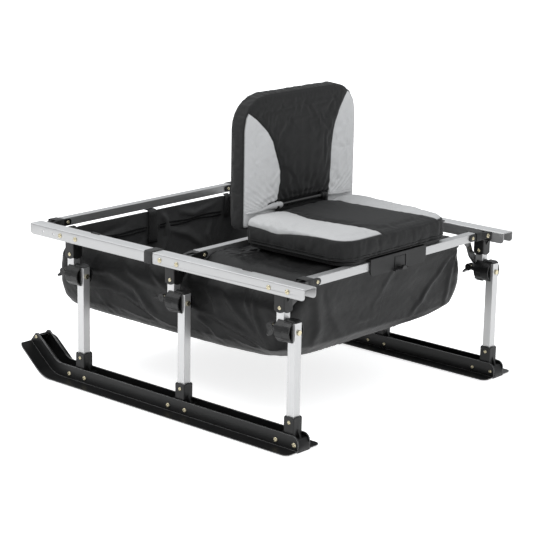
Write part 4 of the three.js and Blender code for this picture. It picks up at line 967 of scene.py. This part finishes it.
def bag_shell(side, sign):
    """Wall and floor of one half of the bag, before its folds."""
    columns, rows, spokes = ((250, 46, 22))
    grid = []
    for level in (1 - np.linspace(0, 1, rows)) ** 1.3:
        z = BAG_FLOOR + (HEM - BAG_FLOOR) * level
        grid.append([(x, y, z) for x, y in bag_outline(level, columns, HALVES_OVERLAP)])
    wall_foot = grid[-1]
    for k in range(1, spokes + 1):
        share = 1 - k / spokes
        grid.append([(x, HALVES_OVERLAP + (y - HALVES_OVERLAP) * share, BAG_FLOOR) for x, y, _ in wall_foot])
    vertices = [(x, y * -sign, z) for row in grid for x, y, z in row]
    faces = grid_faces(len(grid), columns)
    half = mesh_object(f"bag_{side}", vertices, faces if sign > 0 else [f[::-1] for f in faces], bag_cloth)
    clean = bmesh.new()
    clean.from_mesh(half.data)
    bmesh.ops.remove_doubles(clean, verts=clean.verts, dist=0.2 * MM)
    bmesh.ops.dissolve_degenerate(clean, edges=clean.edges, dist=0.1 * MM)
    bmesh.ops.recalc_face_normals(clean, faces=clean.faces)
    clean.to_mesh(half.data)
    clean.free()
    return half


def shape_corners(half, sign):
    """Softens the shell, raises its low near rear corner and pinches the far rear one below the hem."""
    raised, pinched, pinch_z, pinch_half = 8.5 * MM, 8.5 * MM, 0.288, 0.030
    places = positions(half)
    at_edge = (places[:, 2] > HEM - 0.5 * MM) | (places[:, 1] * -sign > HALVES_OVERLAP - 0.5 * MM)
    relax(half, 2, at_edge * 1.0)
    places = positions(half)
    x, y, z = places.T
    low = smooth_step(-z, -BAG_FLOOR - 0.08, -BAG_FLOOR) * smooth_step(x, 0.06, 0.30)
    places[:, 2] += raised * low * smooth_step(-y, 0.16, 0.30)
    if sign > 0:
        pinch = bell(z - pinch_z, pinch_half) * smooth_step(x + y, 0.52, 0.62)
        places[:, :2] -= pinched * pinch[:, None]
    set_positions(half, places)


def crease_height(places, outward, sign):
    """Height of the folds and creases at each point of one half, fading out at the hem and on the floor."""
    x, y, z = places.T
    inward = -sign * y
    facing = np.abs(outward[:, 1]), outward[:, 0], -outward[:, 0]
    side, rear, front = (np.clip(share * 1.6 - 0.3, 0, 1) for share in facing)
    height = fold_height(x, z, SIDE_FOLDS, FAR_SIDE_SHIFT if sign > 0 else 0.0) * side
    height += fold_height(y, z, REAR_FOLDS) * rear
    height += fold_height(y, z, FRONT_FOLDS) * front
    coarse = noise_at(places * np.array([1.0, 1.0, 0.7]), 13.0, 3.0)
    slant = noise_at(np.stack([x * 1.0 + z * 1.4 + inward, z * 0.8, inward * 0.4], axis=1), 27.0, 7.0)
    small = noise_at(places, 75.0, 12.0)
    crinkle = ridge(noise_at(places * np.array([1.0, 1.0, 1.4]), 42.0, 5.0))
    height += (0.9 * coarse + 0.55 * ridge(np.abs(slant) ** 0.8) + 0.35 * small + 0.65 * crinkle) * MM
    above_floor = smooth_step(z, BAG_FLOOR - 4 * MM, BAG_FLOOR + 14 * MM)
    return height * smooth_step(HEM - z, 3 * MM, 28 * MM) * (0.25 + 0.75 * above_floor)


def build_bag_half(side, sign):
    half = bag_shell(side, sign)
    shape_corners(half, sign)
    places, outward = positions(half), normals(half)
    centre = np.array([0, sign * 0.1, 0.25])
    if np.mean(np.sum((places - centre) * outward, axis=1)) < 0:
        half.data.flip_normals()
        outward = -outward
    inset = (1.4 if sign < 0 else 1.6) * MM
    set_positions(half, places + outward * (crease_height(places, outward, sign) - inset)[:, None])
    half.data.materials.append(bag_lining)
    apply_modifier(half, "SOLIDIFY", thickness=CLOTH_THICK, offset=-1.0, edge_crease_rim=1.0,
                   material_offset=1)
    subdivide(half)
    half.data.shade_smooth()
    half.data.set_sharp_from_angle(angle=math.radians(50))
    return half


def squashed(obj):
    """Attaches a piece of the bag to the frame and gives it a mesh of its own."""
    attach(obj, "frame")
    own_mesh(obj)


def tape(name, path, across, width, thick, cloth, side=None, closed=False):
    """Strap on the frame, which gets a mesh of its own if a side's half of the bag is named."""
    made = ribbon(name, path, across, width, thick, cloth, closed)
    if side:
        squashed(made)
    else:
        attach(made, "frame")


def build_bag():
    pocket = {"left": (0.026, 0.262), "right": (0.022, 0.250)}
    for side, sign in SIDES.items():
        half = build_bag_half(side, sign)
        if side == "left":
            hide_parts("cargo_bag")
        squashed(half)
        # binding tapes of the pocket on the inner face of the front wall
        for k, height in enumerate((0.2975, 0.2905)):
            path = []
            for y in np.linspace(*pocket[side], 30):
                sag = 1.6 * MM * math.sin(y * 41 + 1.3 * k) - 0.010 * max(0.0, 0.06 - y)
                path.append((BAG_FRONT + 6.2 * MM + 1.2 * MM * math.sin(y * 60 + k), sign * y, height + sag))
            tape(f"pocket_seam_{side}_{k}", path, UP, 4.2 * MM, 1.1 * MM, piping_cloth, side)
        ys = np.linspace(0.004, BAG_HALF - 0.020, 40)
        path = [(BAG_REAR - 0.2 * MM, sign * y, HEM - 4.5 * MM) for y in ys]
        tape(f"hem_tape_{side}", path, UP, 9 * MM, 1.2 * MM, bag_cloth)


def deck_height(x, y, edge):
    """Height of the cloth deck: up at its rim, a little lower in the middle, creased all over."""
    rim_rise, middle_sag, crease_size = 13 * MM, 5 * MM, 3 * MM
    crumple_x, crumple_half = 0.098, 0.042
    crumple = math.exp(-((x - crumple_x) / crumple_half) ** 2)
    crease = 1.2 * noise.noise(Vector((x * 26, y * 9, 4.0)))
    crease += 0.8 * ridge(noise.noise(Vector((x * 19 + y * 15, y * 26, 9.0))))
    crease += (0.3 + 1.9 * crumple) * ridge(noise.noise(Vector((x * 52, y * 60, 2.0))))
    z = HEM + 0.5 * MM + rim_rise * float(smooth_step(edge, 0.0, 0.028))
    z -= middle_sag * float(smooth_step(edge, 0.02, 0.14))
    return z + crease_size * crease * float(smooth_step(edge, 0.004, 0.04))


def build_deck():
    """Cloth deck over the rear compartment, stretched over its edges and crinkled."""
    front, rear = 0.0525, BAG_REAR - 1 * MM
    columns, rows = 150, 90
    vertices = []
    for x in np.linspace(front, rear, rows):
        for y in np.linspace(-BAG_HALF, BAG_HALF, columns):
            vertices.append((x, y, deck_height(x, y, min(BAG_HALF - abs(y), rear - x))))
    deck = mesh_object("bag_deck", vertices, [f[::-1] for f in grid_faces(rows, columns)], deck_cloth)
    apply_modifier(deck, "SOLIDIFY", thickness=CLOTH_THICK, offset=-1.0)
    subdivide(deck)
    deck.data.shade_smooth()
    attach(deck, "frame")


# Webbing: loops round the clip necks and the rails, and straps sewn to the bag.
LOOP_THICK, STRAP_THICK, WEB_WIDTH = 1.4 * MM, 1.5 * MM, 0.025
NECK_Y, NECK_HALF_WIDE, NECK_HALF_HIGH, NECK_CORNER = 0.3098, 14.6 * MM, 9.8 * MM, 2.4 * MM
RAIL_LOOP_X, RAIL_LOOP_THICK, RAIL_LOOP_GAP = -0.028, 1.3 * MM, 1.2 * MM
FRONT_WALL_IN = BAG_FRONT + 7.5 * MM
CENTRE_Y = -0.004
LOOP_STEP = 4 * MM


def neck_loop(name, x, sign, hem):
    """Webbing round the neck of a crossbar clip, its end sewn to the corner of the hem."""
    y = sign * NECK_Y
    wide, high = NECK_HALF_WIDE, NECK_HALF_HIGH
    loop = rounded(x - wide, BAR_Z - high, x + wide, BAR_Z + high, [NECK_CORNER] * 4, LOOP_STEP)
    path = [(u, y, w) for u, w in loop]
    tape(f"{name}_loop", path, ACROSS, WEB_WIDTH, LOOP_THICK, strap_cloth, closed=True)
    toward = 1 if hem > x else -1
    tail = [(x + toward * 0.004, y, 0.3412)]
    for along, inward, z in ((-0.006, 0.006, 0.3400), (0.004, 0.016, 0.3384), (0.010, 0.024, 0.3360),
                             (0.012, 0.028, 0.3300)):
        tail.append((hem + toward * along, y - sign * inward, z))
    tape(f"{name}_tail", tail, ACROSS, 0.022, LOOP_THICK, strap_cloth)


def centre_strap():
    """Wide webbing from the front crossbar over the hem and down the inner face of the front wall."""
    over_hem = [(-0.4150, 0.3408), (-0.4080, 0.3404), (-0.4020, 0.3402), (-0.3975, 0.3390)]
    down_wall = [(1, -4.0, 0.3350), (0, -4.0, 0.325), (0, -3.8, 0.310), (1, -3.4, 0.295), (1, -3.4, 0.280),
                 (0, -4.0, 0.266), (-1, -4.0, 0.258)]
    path = [(x, CENTRE_Y, z) for x, z in over_hem]
    path += [(FRONT_WALL_IN + out * MM, y * MM, z) for out, y, z in down_wall]
    tape("centre_strap", path, ACROSS, 0.0285, STRAP_THICK, strap_cloth, "left")
    patch = [(FRONT_WALL_IN - 1.8 * MM, CENTRE_Y, z) for z in (0.270, 0.262, 0.254)]
    tape("centre_patch", patch, ACROSS, 0.034, LOOP_THICK, bag_cloth, "left")


def corner_strap(side, sign):
    """Narrow webbing down the inner face of the front wall, near its corner."""
    inner = FRONT_WALL_IN + 0.3 * MM
    path = [(-0.4040, 0.272, 0.3400), (-0.3985, 0.272, 0.3392), (inner + 1 * MM, 0.2716, 0.3350),
            (inner, 0.2710, 0.320), (inner + 0.8 * MM, 0.2700, 0.300), (inner, 0.2690, 0.280)]
    path = [(x, sign * y, z) for x, y, z in path]
    tape(f"corner_strap_{side}", path, ACROSS, 0.020, LOOP_THICK, strap_cloth, side)


def rail_loop(name, x, sign):
    """Webbing round a rail, with a tail that is sewn to the side of the bag."""
    low_corner, top_corner = 1.5 * MM, 4.5 * MM
    gap = RAIL_LOOP_GAP
    loop = rounded(RAIL_IN - gap, RAIL_LOW - gap, RAIL_OUT + gap, RAIL_TOP + gap,
                   [low_corner, low_corner, top_corner, top_corner], LOOP_STEP)
    path = [(x, sign * v, w) for v, w in loop]
    tape(f"{name}_loop", path, ALONG, WEB_WIDTH, RAIL_LOOP_THICK, strap_cloth, closed=True)
    tail = [(342.5, 334), (330, 335), (300, 338.8), (287.5, 339.2), (285.5, 336), (288.5, 326)]
    path = [(x, sign * y * MM, z * MM) for y, z in tail]
    tape(f"{name}_tail", path, ALONG, WEB_WIDTH, RAIL_LOOP_THICK, strap_cloth)


def moulding(name, corners, height, matrix, material, body):
    """Small moulded piece: a rounded outline raised to a height, its edges bevelled."""
    made = bmesh.new()
    low = [made.verts.new((x, y, 0)) for x, y in corners]
    high = [made.verts.new((x * 0.9, y * 0.86, height)) for x, y in corners]
    made.faces.new(list(reversed(low)))
    made.faces.new(high)
    for k in range(len(corners)):
        after = (k + 1) % len(corners)
        made.faces.new((low[k], low[after], high[after], high[k]))
    bmesh.ops.recalc_face_normals(made, faces=made.faces)
    bmesh.ops.bevel(made, geom=list(made.edges), offset=0.6 * MM, segments=2, affect="EDGES")
    mesh = built_mesh(name, made, material)
    mesh.set_sharp_from_angle(angle=math.radians(40))
    obj = linked(name, mesh)
    obj.matrix_world = matrix
    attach(obj, body)


def rail_tabs(side, sign):
    """Two small moulded tabs on the inner edge of a rail's top."""
    half_long, half_wide, height = 15 * MM, 3.5 * MM, 2.2 * MM
    outline = rounded(-half_long, -half_wide, half_long, half_wide, [2 * MM] * 4, LOOP_STEP)
    for k, x in enumerate((-0.2360, 0.2420)):
        place = Matrix.Translation((x, sign * 0.3470, 0.3618))
        moulding(f"rail_tab_{side}_{k}", outline, height, place, black_nylon, "frame")


def latch_catch():
    """Thumb catch on the rear face of the seat's latch."""
    outline = [(-9, -4.5), (9, -4.5), (11, -1), (4, 5.5), (-4, 5.5), (-11, -1)]
    upright = Matrix.Rotation(math.pi / 2, 4, "Y") @ Matrix.Rotation(math.pi / 2, 4, "Z")
    place = Matrix.Translation((0.3950, 0.002, 0.3350))
    corners = [(x * MM, y * MM) for x, y in outline]
    moulding("latch_catch", corners, 6.5 * MM, place @ upright, black_handle, "latch")


build_bag()
build_deck()
for side, sign in SIDES.items():
    rail_tabs(side, sign)
latch_catch()
for side, sign in SIDES.items():
    neck_loop(f"front_strap_{side}", BAR_X["front"], sign, BAG_FRONT)
    neck_loop(f"rear_strap_{side}", BAR_X["rear"], sign, BAG_REAR)
    corner_strap(side, sign)
    rail_loop(f"rail_strap_{side}", RAIL_LOOP_X, sign)
centre_strap()


# Floor, light, camera
def make_floor():
    """White floor that glows for the camera and still takes the sled's shadow."""
    half, sunk, glow_strength = 30.0, 0.6 * MM, 0.76
    t = Tree("studio_floor")
    path = t.add("ShaderNodeLightPath").outputs
    seen = t.math("ADD", path["Is Camera Ray"], path["Is Glossy Ray"])
    seen = t.math("MINIMUM", t.math("ADD", seen, path["Is Transmission Ray"]), 1.0)
    color = t.blend(t.noise(t.place, 3.0, 2.0), grey(0.80), grey(0.82))
    plain = t.shader("BsdfDiffuse", {"Color": color})
    glow = t.shader("Emission", {"Color": grey(1.0), "Strength": t.math("MULTIPLY", seen, glow_strength)})
    white = t.show(t.shader("AddShader", {0: plain, 1: glow}))
    corners = [(-half, -half, 0), (half, -half, 0), (half, half, 0), (-half, half, 0)]
    floor = mesh_object("floor", corners, [(0, 1, 2, 3)], white)
    floor.location.z = -sunk


def make_world():
    """Sky that is brighter above and lights the sled, and is plain white to the camera."""
    t = Tree("studio", "World")
    height = t.add("ShaderNodeSeparateXYZ", {0: t.coordinates["Generated"]}).outputs[2]
    sky = t.shader("Background", {0: (0.96, 0.98, 1.0, 1), 1: t.ramp(height, 0.1, 0.8, 0.34, 1.08)})
    white = t.shader("Background", {0: grey(1.0), 1: 1.0})
    seen = t.add("ShaderNodeLightPath").outputs["Is Camera Ray"]
    bpy.context.scene.world = t.show(t.shader("MixShader", {0: seen, 1: sky, 2: white}))


def area_light(name, place, aim, size, watts):
    data = bpy.data.lights.new(name, "AREA")
    data.shape = "RECTANGLE"
    data.size, data.size_y = size
    data.energy = watts
    way = Vector(aim) - Vector(place)
    turn = way.to_track_quat("-Z", "Y").to_matrix().to_4x4()
    linked(name, data).matrix_world = Matrix.Translation(place) @ turn


def make_camera():
    """Camera of the photo, as solved from the right angles of the frame."""
    azimuth, elevation, roll = math.radians(41.4895), math.radians(14.4092), math.radians(1.0022)
    target, distance = Vector((-0.0081, 0, 0.2601)), 4.2795
    sensor_width, focal_pixels, photo_pixels = 36.0, 1784.19, 535.0
    right = Vector((math.cos(azimuth), math.sin(azimuth), 0))
    back = Vector((math.sin(azimuth) * math.cos(elevation), -math.cos(azimuth) * math.cos(elevation),
                   math.sin(elevation)))
    up = back.cross(right)
    side = right * math.cos(roll) + up * math.sin(roll)
    top = up * math.cos(roll) - right * math.sin(roll)
    camera = linked("camera", bpy.data.cameras.new("camera"))
    turn = Matrix((side, top, back)).transposed().to_4x4()
    camera.matrix_world = Matrix.Translation(target + back * distance) @ turn
    camera.data.sensor_width = sensor_width
    camera.data.lens = sensor_width * focal_pixels / photo_pixels
    camera.data.clip_end = 100.0
    bpy.context.scene.camera = camera


make_floor()
make_world()
area_light("key", (-1.3, -1.9, 3.3), (0, 0, 0.2), (2.2, 1.6), 48)
area_light("fill", (3.0, -1.2, 1.6), (0, 0, 0.3), (1.8, 1.8), 1)
make_camera()
bpy.context.scene.view_settings.view_transform = "Standard"
